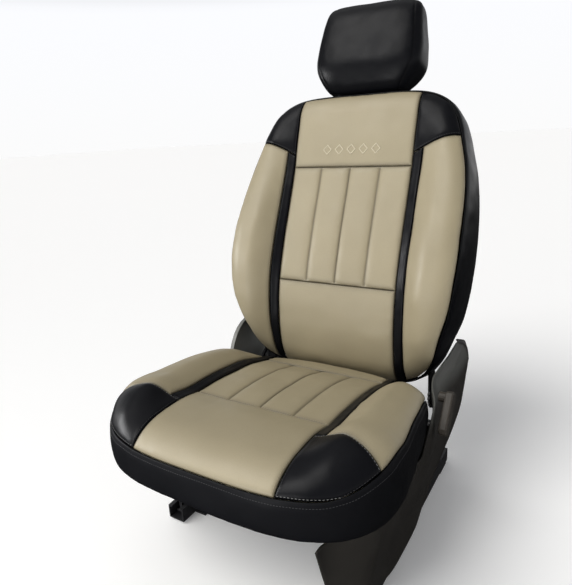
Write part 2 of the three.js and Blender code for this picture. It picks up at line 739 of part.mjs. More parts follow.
// ---------- recliners ----------
function recliners() {
  // toothed plate bolted to the backrest frame
  const disc = Array.from({ length: 25 }, (_, k) => {
    const a = THREE.MathUtils.degToRad(170 + (200 * k) / 24);
    const reach = RECLINER.radius + (k % 2 ? 3 : 6);
    return [reach * Math.cos(a), reach * Math.sin(a)];
  });
  const arm = [[-30, 56], [-FRAME.d + 10, 150], [-FRAME.d - 12, 150], [-FRAME.d - 20, 50]];
  const plate = sidePlate([...disc, ...arm], RECLINER.plateInner, RECLINER.plateOuter, [[0, 0, 8.4]]);
  const weld = box(FRAME.x + 8, RECLINER.plateInner + 1, -FRAME.d - 6, -FRAME.d + 6, 100, 145);
  addPair(back, "recliner_plate", cut(join(plate, weld), box(0, FRAME.x + 12.4, -90, 90, 90, 160)), steel);

  // drum and pin fixed to the seat's side frame
  const at = (x, r0, x1) => rod([x, PIVOT.y, PIVOT.z], [x1, PIVOT.y, PIVOT.z], r0, 20);
  const drum = join(
    at(RECLINER.plateOuter + 0.3, RECLINER.radius, SIDE_FRAME.inner - 0.3),
    at(187, RECLINER.pin, 222),
    at(SIDE_FRAME.outer + 0.3, 15, 222),
    at(186, 13, RECLINER.plateInner - 0.3),
  );
  addPair(base, "recliner_drum", drum, steel);
}

// ---------- headrest ----------
function headrestGuides() {
  const x = POST.x;
  const collar = rod([x, -POST.d, 594.7], [x, -POST.d, 602], 12, 12);
  const sleeve = join(rod([x, -POST.d, 455], [x, -POST.d, 595], 8, 12), collar);
  const bore = rod([x, -POST.d, 440], [x, -POST.d, 606], POST.radius + 0.4, 12);
  const slot = box(x + 7.4, x + 26, -POST.d - 4.3, -POST.d + 4.3, 597.6, 601);
  add(back, "headrest_guide_left", cut(sleeve, bore, slot), plastic);
  add(back, "headrest_guide_right", mirrored(cut(sleeve, bore)), plastic);
  const button = box(x + 11, x + 17, -POST.d - 3.9, -POST.d + 3.9, 598, 600.6);
  add(back, "headrest_lock_button", button, plastic);
}

const headHalf = knots([
  [607, 84], [619, 94], [644, 111], [664, 117], [704, 115], [749, 109], [776, 104], [788, 98],
]);
const headFront = knots([[607, 89], [619, 100], [654, 112], [704, 112], [749, 107], [776, 98], [788, 87]]);
const headRear = knots([[607, 42], [626, 26], [664, 16], [704, 16], [749, 24], [776, 34], [788, 44]]);

function headrestPoint(a, w, inset = 0) {
  const p = 2 / HEADREST.power;
  const [c, s] = [Math.cos(a), Math.sin(a)];
  const mid = (headFront(w) + headRear(w)) / 2;
  const reach = (headFront(w) - headRear(w)) / 2 - inset;
  const x = Math.sign(c) * (headHalf(w) - inset) * Math.abs(c) ** p;
  return upright(x, w, mid + Math.sign(s) * reach * Math.abs(s) ** p);
}

// One sewn part of the headrest cover, between two angles round the ring.
function headrestPanel(from, to, nu) {
  const heights = knots([[0, HEADREST.bottom], [0.2, 621], [0.8, 768], [1, HEADREST.top]]);
  return panel((u, v) => headrestPoint(mix(from, to, u), heights(v)), nu, 10);
}

function headrest() {
  const gap = 0.005;
  const corner = Math.PI / 4;
  add(back, "headrest_front_panel", headrestPanel(Math.PI - corner - gap, corner + gap, 10), black);
  add(back, "headrest_rear_panel", headrestPanel(-corner - gap, -Math.PI + corner + gap, 10), black);
  addPair(back, "headrest_side", headrestPanel(corner - gap, -corner + gap, 5), black);

  // the pad closes over the top and bottom of its cover
  const inset = COVER + FOAM_CLEAR + 1;
  const angles = Array.from({ length: 28 }, (_, k) => (2 * Math.PI * k) / 28);
  const level = [621, 644, 666, 704, 749, 768].map((w) => [w, inset]);
  const rings = [[609, 16], [613, inset + 2], ...level, [781, inset + 3], [786, 16]]
    .map(([w, by]) => angles.map((a) => headrestPoint(a, w, by)));
  const postTop = 700;
  const room = 13;
  const hollows = [-POST.x, POST.x].map((x) => box(
    x - room, x + room, -POST.d - room, -POST.d + room, 590, postTop + room));
  const crossHollow = box(
    -POST.x, POST.x, -POST.d - room, -POST.d + room, postTop - room, postTop + room);
  add(back, "headrest_foam", cut(loft(rings), ...hollows, crossHollow), foamMat);
  add(back, "headrest_posts", bentRod([
    [-POST.x, -POST.d, 470], [-POST.x, -POST.d, postTop],
    [POST.x, -POST.d, postTop], [POST.x, -POST.d, 470],
  ], POST.radius, 22, 16, 8), bright);
}

// ---------- seat base ----------
function rails() {
  const { x, half, front, rear } = RAIL;
  const length = [front, rear];
  const channel = cut(
    box(x - half, x + half, ...length, 4, 32),
    box(x - half + 3, x + half - 3, front - 5, rear + 5, 7, 29),
    box(x - 9, x + 9, front - 5, rear + 5, 20, 40));
  const foot = (y) => join(
    box(x - half - 22, x + half, y - 22, y + 22, 0, 4.2),
    rod([x - half - 11, y, 4], [x - half - 11, y, 9.5], 8, 6));
  addPair(floor, "lower_rail", join(channel, foot(front + 60), foot(rear - 32)), steel);

  const runner = join(
    box(x - 12, x + 12, front + 15, rear - 37, 10, 14),
    box(x - 3, x + 3, front + 15, rear - 37, 10, 40),
    box(x - 14, x + 14, front + 15, rear - 37, 36, 40));
  addPair(base, "upper_rail", runner, steel);
}

// Pressed plate from the rail up to the recliner, with a stiffening flange and lightening windows
function sideFrames() {
  const { inner, outer, top } = SIDE_FRAME;
  const { front } = SIDE_FRAME;
  const lobe = Array.from({ length: 13 }, (_, k) => {
    const a = Math.PI * (1 - k / 12);
    return [PIVOT.y + 36 * Math.cos(a), PIVOT.z + 36 * Math.sin(a)];
  });
  const outline = [
    [front, 110], [front, top], [-60, top], [-10, 150], ...lobe, [86, 150], [58, 100], [52, 44], [-20, 44],
    [-62, 110], [-190, 118], [-262, 44], [-318, 44],
  ];
  const plate = sidePlate(outline, inner, outer, [[-296, 98, 19], [20, 96, 18], [PIVOT.y, PIVOT.z, 8.4]]);
  const inwards = inner - 13;
  const flanges = [
    box(inwards, inner + 1, front, front + 3, 110, top),
    box(inner - 28, inner + 1, -318, -262, 40.3, 44.3),
    box(inner - 28, inner + 1, -20, 52, 40.3, 44.3),
    sidePlate([[front, 110], [-318, 44], [-314, 44], [front + 3.6, 112]], inwards, inner + 1),
    sidePlate([[-262, 44], [-266, 44], [-193, 118], [-190, 118]], inwards, inner + 1),
  ];
  addPair(base, "side_frame", join(plate, ...flanges), steel);
}

function crossTubes() {
  const reach = SIDE_FRAME.inner - 0.3;
  add(base, "front_cross_tube", rod([-reach, -306, 152], [reach, -306, 152], 11, 12), steel);
  add(base, "rear_cross_tube", rod([-reach, 10, 132], [reach, 10, 132], 11, 12), steel);
}

function cushionPan() {
  const outline = Array.from({ length: 32 }, (_, k) => cushionPoint((2 * Math.PI * k) / 32, 0.8));
  const ring = (offset, z) => offsetRing(
    outline, (x, y, out) => new THREE.Vector3(x - out.x * offset, y - out.y * offset, z));
  const lip = [ring(3, 178), ring(0, 178), ring(0, 186), ring(6, 191)];
  const shell = loft([...lip, ring(9, 191), ring(8, 188), ring(3, 184)], true);
  const floorPlate = loft([ring(4, 187.8), ring(4, 191)]);
  add(base, "cushion_pan", join(shell, floorPlate), steel);
}

// ---------- side shields ----------
const shieldBottom = knots([
  [-424, 88], [-345, 46], [-290, 20], [-250, 10], [-150, 8], [-113, 18], [-50, 38], [4, 64],
  [52, 105], [99, 170], [142, 238],
]);
const shieldTop = knots([
  [-456, 186], [-300, 187], [-225, 187], [-188, 191], [-166, 220], [-142, 250], [-112, 269],
  [-70, 279], [0, 284], [40, 292], [88, 297],
]);

// How far out the door-side shield stands at a point of its side view
function shieldX(y, z) {
  const rise = mix(17, 21, smooth((y + 190) / 50)) * smooth((z - 30) / 140);
  const tuck = 52 * smooth((-362 - y) / 84);
  // it stands out round the widest part of the cushion
  const swell = 6 * smooth((y + 215) / 30) * smooth((-95 - y) / 40) * smooth((z - 150) / 40);
  return SHIELD.x - 21 + rise - tuck + swell;
}

function sideShield() {
  const corner = { low: [-424, 88], lowRear: [142, 238], high: [-456, 186], highRear: [88, 297] };
  const flat = layout({
    low: (u) => {
      const y = mix(corner.low[0], corner.lowRear[0], u);
      return [y, shieldBottom(y)];
    },
    high: (u) => {
      const y = mix(corner.high[0], corner.highRear[0], u);
      return [y, shieldTop(y)];
    },
    left: straight(corner.low, corner.high),
    right: (v) => {
      const bow = Math.sin(Math.PI * v);
      return [mix(corner.lowRear[0], corner.highRear[0], v) + 12 * bow,
        mix(corner.lowRear[1], corner.highRear[1], v) + 8 * bow];
    },
  });
  const surface = (u, v) => {
    const [y, z] = flat(u, v);
    // the rim rolls inwards behind the cushion and round the rear edge
    const rimTop = 9 * smooth((v - 0.86) / 0.14) * smooth((y + 120) / 60);
    const rimRear = 6 * smooth((u - 0.94) / 0.06);
    return new THREE.Vector3(shieldX(y, z) - rimTop - rimRear, y, z);
  };
  add(base, "side_shield", panel(surface, 24, 9, { thickness: SHIELD.thickness }), plastic);
}

// Cover over the recliner on the buckle side
function innerShield() {
  const outline = [
    [-66, 168], [-74, 205], [-66, 246], [-44, 284], [-16, 304], [18, 310], [52, 300], [80, 270], [96, 228],
    [98, 184], [84, 152], [40, 134], [-20, 136], [-52, 148],
  ];
  const n = outline.length;
  const smoothOutline = new THREE.CatmullRomCurve3(
    outline.map(([y, z]) => new THREE.Vector3(0, y, z)), true).getPoints(2 * n).slice(0, 2 * n);
  const centre = new THREE.Vector3(0, 12, 222);
  const ring = (share, x) => smoothOutline.map((p) => {
    const q = centre.clone().lerp(p, share);
    return new THREE.Vector3(x, q.y, q.z);
  });
  const outside = [ring(1, -233), ring(0.985, -242.5), ring(0.93, -245.5), ring(0.5, -247)];
  const inside = [ring(0.48, -244), ring(0.9, -242.5), ring(0.955, -240.5), ring(0.965, -233)];
  const shell = loft([...outside, ...inside], true);
  const lid = loft([ring(0.55, -247), ring(0.55, -244)]);
  add(base, "inner_shield", join(shell, lid), greyPlastic);
}

// ---------- controls ----------
function reclineLever() {
  const { y, z, inner, outer, length, half } = LEVER;
  const tip = [y - 42, z - 50];
  const across = new THREE.Vector2(tip[0] - y, tip[1] - z).normalize();
  const side = new THREE.Vector2(-across.y, across.x);
  const at = (along, off) => [y + across.x * along + side.x * off, z + across.y * along + side.y * off];
  const outline = [
    at(-11, -6), at(-6, -half), at(length - 8, -half), at(length - 2, -half + 4), at(length, 0),
    at(length - 2, half - 4), at(length - 8, half), at(-6, half), at(-11, 6),
  ];
  const shape = new THREE.Shape(outline.map(([a, b]) => new THREE.Vector2(a, b)));
  const bevel = 3;
  const paddle = new THREE.ExtrudeGeometry(shape, {
    depth: outer - inner - 2 * bevel,
    bevelThickness: bevel,
    bevelSize: bevel,
    bevelOffset: -bevel,
    bevelSegments: 2,
  }).applyMatrix4(SIDE_VIEW).translate(inner + bevel, 0, 0);
  const hub = rod([shieldX(y - 9, z) + 0.8, y, z], [inner + 2, y, z], 9, 14);
  add(base, "recline_lever", join(paddle, hub), plastic);
}

function releaseBar() {
  const x = 163;
  add(base, "slide_release_bar", bentRod([
    [-x, -220, 78], [-x, -280, 84], [-x, -376, 138],
    [x, -376, 138], [x, -280, 84], [x, -220, 78],
  ], 5, 24, 26, 8), steel);
}

function buckle() {
  const { x, y, z, half, bottom, top } = BUCKLE;
  add(base, "buckle_anchor", join(
    rod([-SIDE_FRAME.outer - 0.3, y, z], [x - 2, y, z], 7, 12), rod([x - 2, y, z], [x - 6, y, z], 11, 6),
    rod([-SIDE_FRAME.outer - 0.3, y, z], [x + 3, y, z], 10, 12)), steel);
  const stalk = sidePlate([
    [y - 12, z - 8], [y - 6, z - 14], [y + 6, z - 14], [y + 12, z - 8],
    [y + 12, bottom - 0.3], [y - 12, bottom - 0.3],
  ], x - 1.5, x + 1.5, [[y, z, 7.4]]);
  add(base, "buckle_stalk", stalk, steel);

  const body = new THREE.BoxGeometry(2 * half, 44, top - bottom, 2, 2, 2);
  body.translate(x, y, (top + bottom) / 2);
  const taper = body.attributes.position;
  for (let i = 0; i < taper.count; i++) {
    const s = (taper.getZ(i) - bottom) / (top - bottom);
    taper.setX(i, x + (taper.getX(i) - x) * mix(0.84, 1, s));
    taper.setY(i, y + (taper.getY(i) - y) * mix(0.8, 1, s));
  }
  const slot = box(x + 2.5, x + 7.5, y - 14, y + 14, top - 40, top + 5);
  const pocket = box(x - 9, x - 1, y - 15, y + 15, top - 22, top + 5);
  add(base, "buckle_housing", cut(body, slot, pocket), black);
  add(base, "buckle_button", box(x - 8.5, x - 1.5, y - 14.5, y + 14.5, top - 13, top - 1), red);
}

cushionCovers();
cushionBorder();
coverStraps();
cushionFoam();
backCovers();
backBorder();
backRearPanel();
backFoam();
backFrame();
recliners();
headrestGuides();
headrest();
rails();
sideFrames();
crossTubes();
cushionPan();
sideShield();
innerShield();
reclineLever();
releaseBar();
buckle();

// the origin is under the middle of the bounding box
const bounds = new THREE.Box3().setFromObject(seat, true);
seat.position.y = -(bounds.min.y + bounds.max.y) / 2;

export default seat;
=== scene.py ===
"""Looks of a front vehicle seat dressed in a two-tone leatherette cover set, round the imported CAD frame.

Shapes are worked out in millimetres in seat axes (the seat faces -Y, +X is the door side, +Z up) or, for
everything above the recliner, in backrest axes: across x, height w up the back, depth d towards the front.
"""
import math

import bmesh
import bpy
import numpy as np
from mathutils import Matrix, Vector


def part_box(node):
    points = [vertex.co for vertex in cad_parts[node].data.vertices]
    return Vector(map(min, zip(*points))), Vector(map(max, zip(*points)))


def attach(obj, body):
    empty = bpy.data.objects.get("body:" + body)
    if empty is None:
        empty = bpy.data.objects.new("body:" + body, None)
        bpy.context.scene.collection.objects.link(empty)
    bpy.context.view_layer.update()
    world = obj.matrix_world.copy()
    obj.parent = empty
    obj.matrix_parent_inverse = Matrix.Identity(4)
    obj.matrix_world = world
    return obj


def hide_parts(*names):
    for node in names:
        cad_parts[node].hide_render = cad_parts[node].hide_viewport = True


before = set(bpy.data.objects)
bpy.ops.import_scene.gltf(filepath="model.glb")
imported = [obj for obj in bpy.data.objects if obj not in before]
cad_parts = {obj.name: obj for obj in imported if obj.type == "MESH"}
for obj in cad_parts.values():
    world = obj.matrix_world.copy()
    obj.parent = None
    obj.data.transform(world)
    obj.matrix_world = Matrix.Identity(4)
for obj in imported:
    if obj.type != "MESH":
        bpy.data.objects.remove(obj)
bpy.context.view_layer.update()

# ---------- the frame's own measures ----------
LEAN = math.radians(18)
PIVOT_Y, PIVOT_Z = 50.0, 190.0
RAIL_REAR = 97.0
SHIFT_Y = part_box("lower_rail_left")[1].y * 1000 - RAIL_REAR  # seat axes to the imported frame

INSERT_HALF = 131.0
STRIP_OUTER = 150.0
COVER = 2.6  # thickness shown at the cut edges of the leatherette and its backing


# ---------- camera ----------
def camera():
    """The three-quarter view from the door side, a little above the cushion, with a slight roll."""
    azimuth, elevation, roll = math.radians(32.06), math.radians(16.58), math.radians(-3.22)
    back = Vector((math.sin(azimuth) * math.cos(elevation), -math.cos(azimuth) * math.cos(elevation),
                   math.sin(elevation)))
    right = Vector((math.cos(azimuth), math.sin(azimuth), 0))
    up = back.cross(right)
    side = math.cos(roll) * right + math.sin(roll) * up
    top = math.cos(roll) * up - math.sin(roll) * right
    data = bpy.data.cameras.new("camera")
    data.lens = 32.97
    data.sensor_width = 36
    eye = bpy.data.objects.new("camera", data)
    place = (0.4754, -0.8462, 0.7181)
    eye.matrix_world = Matrix.Translation(place) @ Matrix((side, top, back)).transposed().to_4x4()
    bpy.context.scene.collection.objects.link(eye)
    bpy.context.scene.camera = eye


camera()


# ---------- small maths ----------
def mix(a, b, t):
    return a + (b - a) * t


def smooth(t):
    s = np.clip(t, 0, 1)
    return s * s * (3 - 2 * s)


def knots(table):
    """Smooth curve through (input, output) knots, flat outside them."""
    xs = np.array([k[0] for k in table], float)
    ys = np.array([k[1] for k in table], float)
    ahead = np.minimum(np.arange(len(xs)) + 1, len(xs) - 1)
    behind = np.maximum(np.arange(len(xs)) - 1, 0)
    slopes = (ys[ahead] - ys[behind]) / (xs[ahead] - xs[behind])

    def curve(t):
        t = np.clip(np.asarray(t, float), xs[0], xs[-1])
        i = np.clip(np.searchsorted(xs, t, side="right") - 1, 0, len(xs) - 2)
        h = xs[i + 1] - xs[i]
        s = (t - xs[i]) / h
        return ((2 * s**3 - 3 * s**2 + 1) * ys[i] + (s**3 - 2 * s**2 + s) * h * slopes[i]
                + (3 * s**2 - 2 * s**3) * ys[i + 1] + (s**3 - s**2) * h * slopes[i + 1])

    return curve


LATTICE = np.random.default_rng(7).uniform(-1, 1, (32, 32, 32))


def noise(points, size, seed=0):
    """Smooth random field between about -1 and 1, with features of the given size in the points' units."""
    q = np.asarray(points, float) / size + 1000.0 + 17.31 * seed
    cell = np.floor(q).astype(int)
    f = q - cell
    f = f * f * (3 - 2 * f)
    total = 0.0
    for corner in range(8):
        step = np.array([corner & 1, corner >> 1 & 1, corner >> 2 & 1])
        weight = np.prod(np.where(step, f, 1 - f), axis=-1)
        i = (cell + step) % 32
        total = total + weight * LATTICE[i[..., 0], i[..., 1], i[..., 2]]
    return total * 1.6


def unit(v):
    return v / np.maximum(np.linalg.norm(v, axis=-1, keepdims=True), 1e-9)


def back_axes(points):
    """(x, w, d) in backrest axes to seat axes."""
    x, w, d = points[..., 0], points[..., 1], points[..., 2]
    c, s = math.cos(LEAN), math.sin(LEAN)
    return np.stack([x, PIVOT_Y - d * c + w * s, PIVOT_Z + d * s + w * c], -1)


def to_frame(points):
    return (points + np.array([0, SHIFT_Y, 0])) / 1000.0


# ---------- mesh helpers ----------
def add_object(name, data):
    made = bpy.data.objects.new(name, data)
    bpy.context.scene.collection.objects.link(made)
    return made


def shade_smooth(mesh):
    mesh.polygons.foreach_set("use_smooth", [True] * len(mesh.polygons))


def evaluated(piece):
    """A new mesh of an object as its modifiers, or a curve's bevel, leave it."""
    graph = bpy.context.evaluated_depsgraph_get()
    return bpy.data.meshes.new_from_object(piece.evaluated_get(graph), depsgraph=graph)


def bake(piece):
    """Turns a piece's modifiers into its own mesh."""
    mesh = evaluated(piece)
    piece.modifiers.clear()
    piece.data = mesh


def mesh_object(name, points, faces, material, body, replaced=(), values=None):
    """A smooth-shaded piece from points in seat axes, riding on a body."""
    mesh = bpy.data.meshes.new(name)
    face_lists = faces if isinstance(faces, list) else faces.tolist()
    mesh.from_pydata(to_frame(np.asarray(points, float).reshape(-1, 3)).tolist(), [], face_lists)
    shade_smooth(mesh)
    for key, data in (values or {}).items():
        layer = mesh.attributes.new(key, "FLOAT", "POINT")
        layer.data.foreach_set("value", np.asarray(data, np.float32).ravel())
    mesh.materials.append(material)
    return declare(add_object(name, mesh), body, replaced)


def declare(piece, body, replaced):
    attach(piece, body)
    if replaced:
        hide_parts(*replaced)
    return piece


def grid_faces(rows, columns, wrap=False):
    """Quads of a grid of points. wrap joins the last column to the first."""
    j, i = np.meshgrid(np.arange(rows - 1), np.arange(columns if wrap else columns - 1), indexing="ij")
    k = (i + 1) % columns
    quads = np.stack([j * columns + i, j * columns + k, (j + 1) * columns + k, (j + 1) * columns + i], -1)
    return quads.reshape(-1, 4)


def thicken(piece, thickness):
    shell = piece.modifiers.new("thickness", "SOLIDIFY")
    shell.thickness = thickness / 1000
    shell.offset = -1
    return piece


def grid_normals(points, wrap=False):
    if wrap:
        across = np.roll(points, -1, 1) - np.roll(points, 1, 1)
    else:
        across = np.gradient(points, axis=1)
    return unit(np.cross(across, np.gradient(points, axis=0)))


def along(points, axis):
    """Distance run along the grid lines of an axis, from their start."""
    steps = np.linalg.norm(np.diff(points, axis=axis), axis=-1)
    start = np.zeros_like(np.take(steps, [0], axis))
    return np.concatenate([start, np.cumsum(steps, axis)], axis)


def spaced(length, fine_at=None, fine=1.1, coarse=3.6, reach=16.0):
    """Parameters from 0 to 1 along a length, closer together near fine_at, or else near its ends."""
    fine_at = fine_at or (0, length)
    place, out = 0.0, [0.0]
    while place < length:
        near = min(abs(place - s) for s in fine_at)
        place += mix(fine, coarse, float(smooth(near / reach)))
        out.append(place)
    return np.array(out) / out[-1]


def interpolate(where, run, line):
    """Points at given distances along a line of points."""
    return np.stack([np.interp(where, run, line[:, k]) for k in range(line.shape[1])], -1)


# ---------- stitching ----------
def stitch_mesh(name, lines, material, body, pitch=4.4, length=3.3, radius=0.42, lift=0.15):
    """Threads laid one after another along lines of (points, normals)."""
    sides, shape = 6, [(-0.5, 0.25), (-0.42, 0.85), (-0.2, 1.0), (0.2, 1.0), (0.42, 0.85), (0.5, 0.25)]
    turns = [2 * math.pi * k / sides for k in range(sides)]
    template = np.array([[t * length, radius * r * math.cos(turn), radius * r * math.sin(turn)]
                         for t, r in shape for turn in turns])
    body_faces = grid_faces(len(shape), sides, wrap=True)
    points, faces = [], []
    for line, normals in lines:
        run = along(line[None], 1)[0]
        centres = np.arange(pitch, run[-1] - pitch * 0.5, pitch)
        if not len(centres):
            continue
        place = interpolate(centres, run, line)
        out = unit(interpolate(centres, run, normals))
        tangent = unit(interpolate(centres + 1, run, line) - place)
        side = unit(np.cross(out, tangent))
        thread = (place[:, None] + out[:, None] * lift + tangent[:, None] * template[None, :, :1]
                  + side[:, None] * template[None, :, 1:2] + out[:, None] * template[None, :, 2:])
        # the ends of a stitch dive into its holes
        thread -= out[:, None] * (1.4 * radius * (2 * template[None, :, :1] / length) ** 4)
        base = sum(len(p) for p in points)
        count = len(template)
        points.append(thread.reshape(-1, 3))
        offsets = base + np.arange(len(centres)) * count
        faces.append((body_faces[None] + offsets[:, None, None]).reshape(-1, 4))
        caps = np.array([[0, 1, 2, 3], [0, 3, 4, 5]])
        last = (len(shape) - 1) * sides
        faces.append((caps[None, :, ::-1] + offsets[:, None, None]).reshape(-1, 4))
        faces.append((caps[None] + last + offsets[:, None, None]).reshape(-1, 4))
    return mesh_object(name, np.concatenate(points), np.concatenate(faces), material, body)


# ---------- materials ----------
def node_material(name, slot):
    material = bpy.data.materials.new(name)
    material["slot"] = slot
    material.use_nodes = True
    tree = material.node_tree
    shader = tree.nodes["Principled BSDF"]
    place = tree.nodes.new("ShaderNodeTexCoord").outputs["Object"]
    return material, tree, shader, place


def texture(tree, kind, place, **values):
    node = tree.nodes.new(kind)
    tree.links.new(place, node.inputs["Vector"])
    for key, value in values.items():
        node.inputs[key].default_value = value
    return node


def ramp(tree, source, low, high, start=0.0, end=1.0):
    """Maps a source from start..end to low..high, which are numbers or colours."""
    node = tree.nodes.new("ShaderNodeMix")
    node.data_type = "RGBA" if isinstance(high, tuple) else "FLOAT"
    spread = tree.nodes.new("ShaderNodeMapRange")
    spread.inputs["From Min"].default_value = start
    spread.inputs["From Max"].default_value = end
    tree.links.new(source, spread.inputs["Value"])
    a, b, result = (6, 7, 2) if isinstance(high, tuple) else (2, 3, 0)
    tree.links.new(spread.outputs["Result"], node.inputs[0])
    for socket, value in ((a, low), (b, high)):
        if isinstance(value, (tuple, float, int)):
            node.inputs[socket].default_value = value if not isinstance(value, tuple) else (*value, 1)
        else:
            tree.links.new(value, node.inputs[socket])
    return node.outputs[result]


def vary(tree, shader, key, source, low, high, start=0.0, end=1.0):
    """Drives an input of the shader from low to high by a source."""
    tree.links.new(ramp(tree, source, low, high, start, end), shader.inputs[key])


def bump(tree, shader, height, strength, distance, after=None):
    node = tree.nodes.new("ShaderNodeBump")
    node.inputs["Strength"].default_value = strength
    node.inputs["Distance"].default_value = distance
    tree.links.new(height, node.inputs["Height"])
    if after is not None:
        tree.links.new(after.outputs["Normal"], node.inputs["Normal"])
    tree.links.new(node.outputs["Normal"], shader.inputs["Normal"])
    return node


def point_value(tree, name):
    node = tree.nodes.new("ShaderNodeAttribute")
    node.attribute_name = name
    return node.outputs["Fac"]


def tint(colour, share):
    return tuple(min(1.0, c * share) for c in colour)


def leatherette(name, slot, colour, roughness, specular, seam_shade_and_dirt):
    """Embossed vinyl: a fine pebble grain with pores, faint mottling, and painted shade with some dirt at
    the seams, darker there.
    """
    material, tree, shader, place = node_material(name, slot)
    cloud = texture(tree, "ShaderNodeTexNoise", place, Scale=7.0, Detail=3.0, Roughness=0.6)
    mottled = ramp(tree, cloud.outputs["Fac"], tint(colour, 0.93), tint(colour, 1.06), 0.3, 0.7)
    pebble = texture(tree, "ShaderNodeTexVoronoi", place, Scale=820.0, Randomness=0.9)
    pebble.feature = "SMOOTH_F1"
    pores = ramp(tree, pebble.outputs["Distance"], tint(colour, 1.0), tint(colour, 0.86), 0.35, 0.75)
    blend = tree.nodes.new("ShaderNodeMix")
    blend.data_type = "RGBA"
    blend.blend_type = "MIX"
    blend.inputs[0].default_value = 0.35
    tree.links.new(mottled, blend.inputs[6])
    tree.links.new(pores, blend.inputs[7])
    # darker within about 12 mm of seams and flute channels: painted shade in the creases, with some dirt
    vary(tree, shader, "Base Color", point_value(tree, "seam"), blend.outputs[2], tint(colour, seam_shade_and_dirt), 0.05)
    shine = texture(tree, "ShaderNodeTexNoise", place, Scale=32.0, Detail=4.0)
    vary(tree, shader, "Roughness", shine.outputs["Fac"], roughness - 0.05, roughness + 0.06, 0.3, 0.7)
    shader.inputs["Specular IOR Level"].default_value = specular
    creases = texture(tree, "ShaderNodeTexNoise", place, Scale=150.0, Detail=5.0, Roughness=0.7)
    first = bump(tree, shader, creases.outputs["Fac"], 0.10, 0.0012)
    bump(tree, shader, pebble.outputs["Distance"], 0.16, 0.0005, first)
    return material


def moulded(name, slot, colour, roughness, grain=0.22, specular=0.5, pale=None):
    """Moulded plastic with a spark-eroded grain and a slightly worn tone, paler where "pale" is 1, which is
    painted light.
    """
    material, tree, shader, place = node_material(name, slot)
    cloud = texture(tree, "ShaderNodeTexNoise", place, Scale=14.0, Detail=5.0)
    tone = ramp(tree, cloud.outputs["Fac"], tint(colour, 0.85), tint(colour, 1.18), 0.3, 0.7)
    if pale:
        tone = ramp(tree, point_value(tree, "pale"), tone, pale)
    tree.links.new(tone, shader.inputs["Base Color"])
    fine = texture(tree, "ShaderNodeTexNoise", place, Scale=900.0, Detail=3.0, Roughness=0.7)
    cells = texture(tree, "ShaderNodeTexVoronoi", place, Scale=1300.0)
    vary(tree, shader, "Roughness", fine.outputs["Fac"], roughness - 0.07, roughness + 0.08, 0.3, 0.7)
    shader.inputs["Specular IOR Level"].default_value = specular
    first = bump(tree, shader, fine.outputs["Fac"], grain, 0.0006)
    bump(tree, shader, cells.outputs["Distance"], grain * 0.6, 0.0003, first)
    return material


def metal(name, slot, colour, roughness, metallic, scale=60.0):
    """Painted or plated steel with faint streaks, orange peel and rubbed patches."""
    material, tree, shader, place = node_material(name, slot)
    cloud = texture(tree, "ShaderNodeTexNoise", place, Scale=22.0, Detail=6.0, Roughness=0.65)
    vary(tree, shader, "Base Color", cloud.outputs["Fac"], tint(colour, 0.8), tint(colour, 1.25), 0.35, 0.7)
    peel = texture(tree, "ShaderNodeTexNoise", place, Scale=scale * 8, Detail=3.0)
    vary(tree, shader, "Roughness", cloud.outputs["Fac"], roughness - 0.08, roughness + 0.12, 0.35, 0.7)
    shader.inputs["Metallic"].default_value = metallic
    bump(tree, shader, peel.outputs["Fac"], 0.08, 0.0006)
    return material


def woven(name, slot, colour, threads=900.0):
    """Narrow webbing: crossed ribs of yarn."""
    material, tree, shader, place = node_material(name, slot)
    waves = []
    for direction in ("X", "Y"):
        wave = texture(tree, "ShaderNodeTexWave", place, Scale=threads / 6.28, Distortion=0.6)
        wave.bands_direction = direction
        waves.append(wave)
    weave = tree.nodes.new("ShaderNodeMath")
    weave.operation = "MULTIPLY"
    for k, wave in enumerate(waves):
        tree.links.new(wave.outputs["Fac"], weave.inputs[k])
    vary(tree, shader, "Base Color", weave.outputs[0], tint(colour, 0.6), tint(colour, 1.5))
    shader.inputs["Roughness"].default_value = 0.85
    bump(tree, shader, weave.outputs[0], 0.5, 0.0006)
    return material


def thread(name, slot, colour):
    material, tree, shader, place = node_material(name, slot)
    twist = texture(tree, "ShaderNodeTexNoise", place, Scale=1800.0, Detail=2.0)
    vary(tree, shader, "Base Color", twist.outputs["Fac"], tint(colour, 0.75), tint(colour, 1.15), 0.3, 0.7)
    shader.inputs["Roughness"].default_value = 0.6
    bump(tree, shader, twist.outputs["Fac"], 0.3, 0.0003)
    return material


def foam_material():
    material, tree, shader, place = node_material("open_cell_foam", "foam")
    cells = texture(tree, "ShaderNodeTexVoronoi", place, Scale=420.0)
    deep, pale = (0.48, 0.42, 0.27), (0.72, 0.66, 0.46)
    vary(tree, shader, "Base Color", cells.outputs["Distance"], deep, pale, 0.1, 0.7)
    shader.inputs["Roughness"].default_value = 0.95
    bump(tree, shader, cells.outputs["Distance"], 0.7, 0.002)
    return material


BEIGE = (0.325, 0.278, 0.180)
BLACK = (0.0050, 0.0052, 0.0066)
beige = leatherette("beige_vinyl", "beige_leatherette", BEIGE, 0.48, 0.4, 0.42)
black = leatherette("black_vinyl", "black_leatherette", BLACK, 0.33, 0.09, 0.5)
rear_black = leatherette("black_rear_vinyl", "black_leatherette", tint(BLACK, 1.6), 0.45, 0.3, 0.5)
skirt_black = leatherette("black_skirt_vinyl", "black_leatherette", BLACK, 0.52, 0.09, 0.5)
beige_thread = thread("beige_thread", "beige_leatherette", (0.34, 0.29, 0.19))
pale_thread = thread("pale_thread", "beige_leatherette", (0.56, 0.50, 0.36))
grey_thread = thread("grey_thread", "black_leatherette", (0.20, 0.20, 0.195))
black_thread = thread("black_thread", "black_leatherette", (0.022, 0.022, 0.025))
foam = foam_material()
SHIELD_TONE = (0.022, 0.0195, 0.0165)
dark_plastic = moulded("lever_plastic", "dark_plastic", (0.042, 0.036, 0.029), 0.5, 0.22, 0.3)
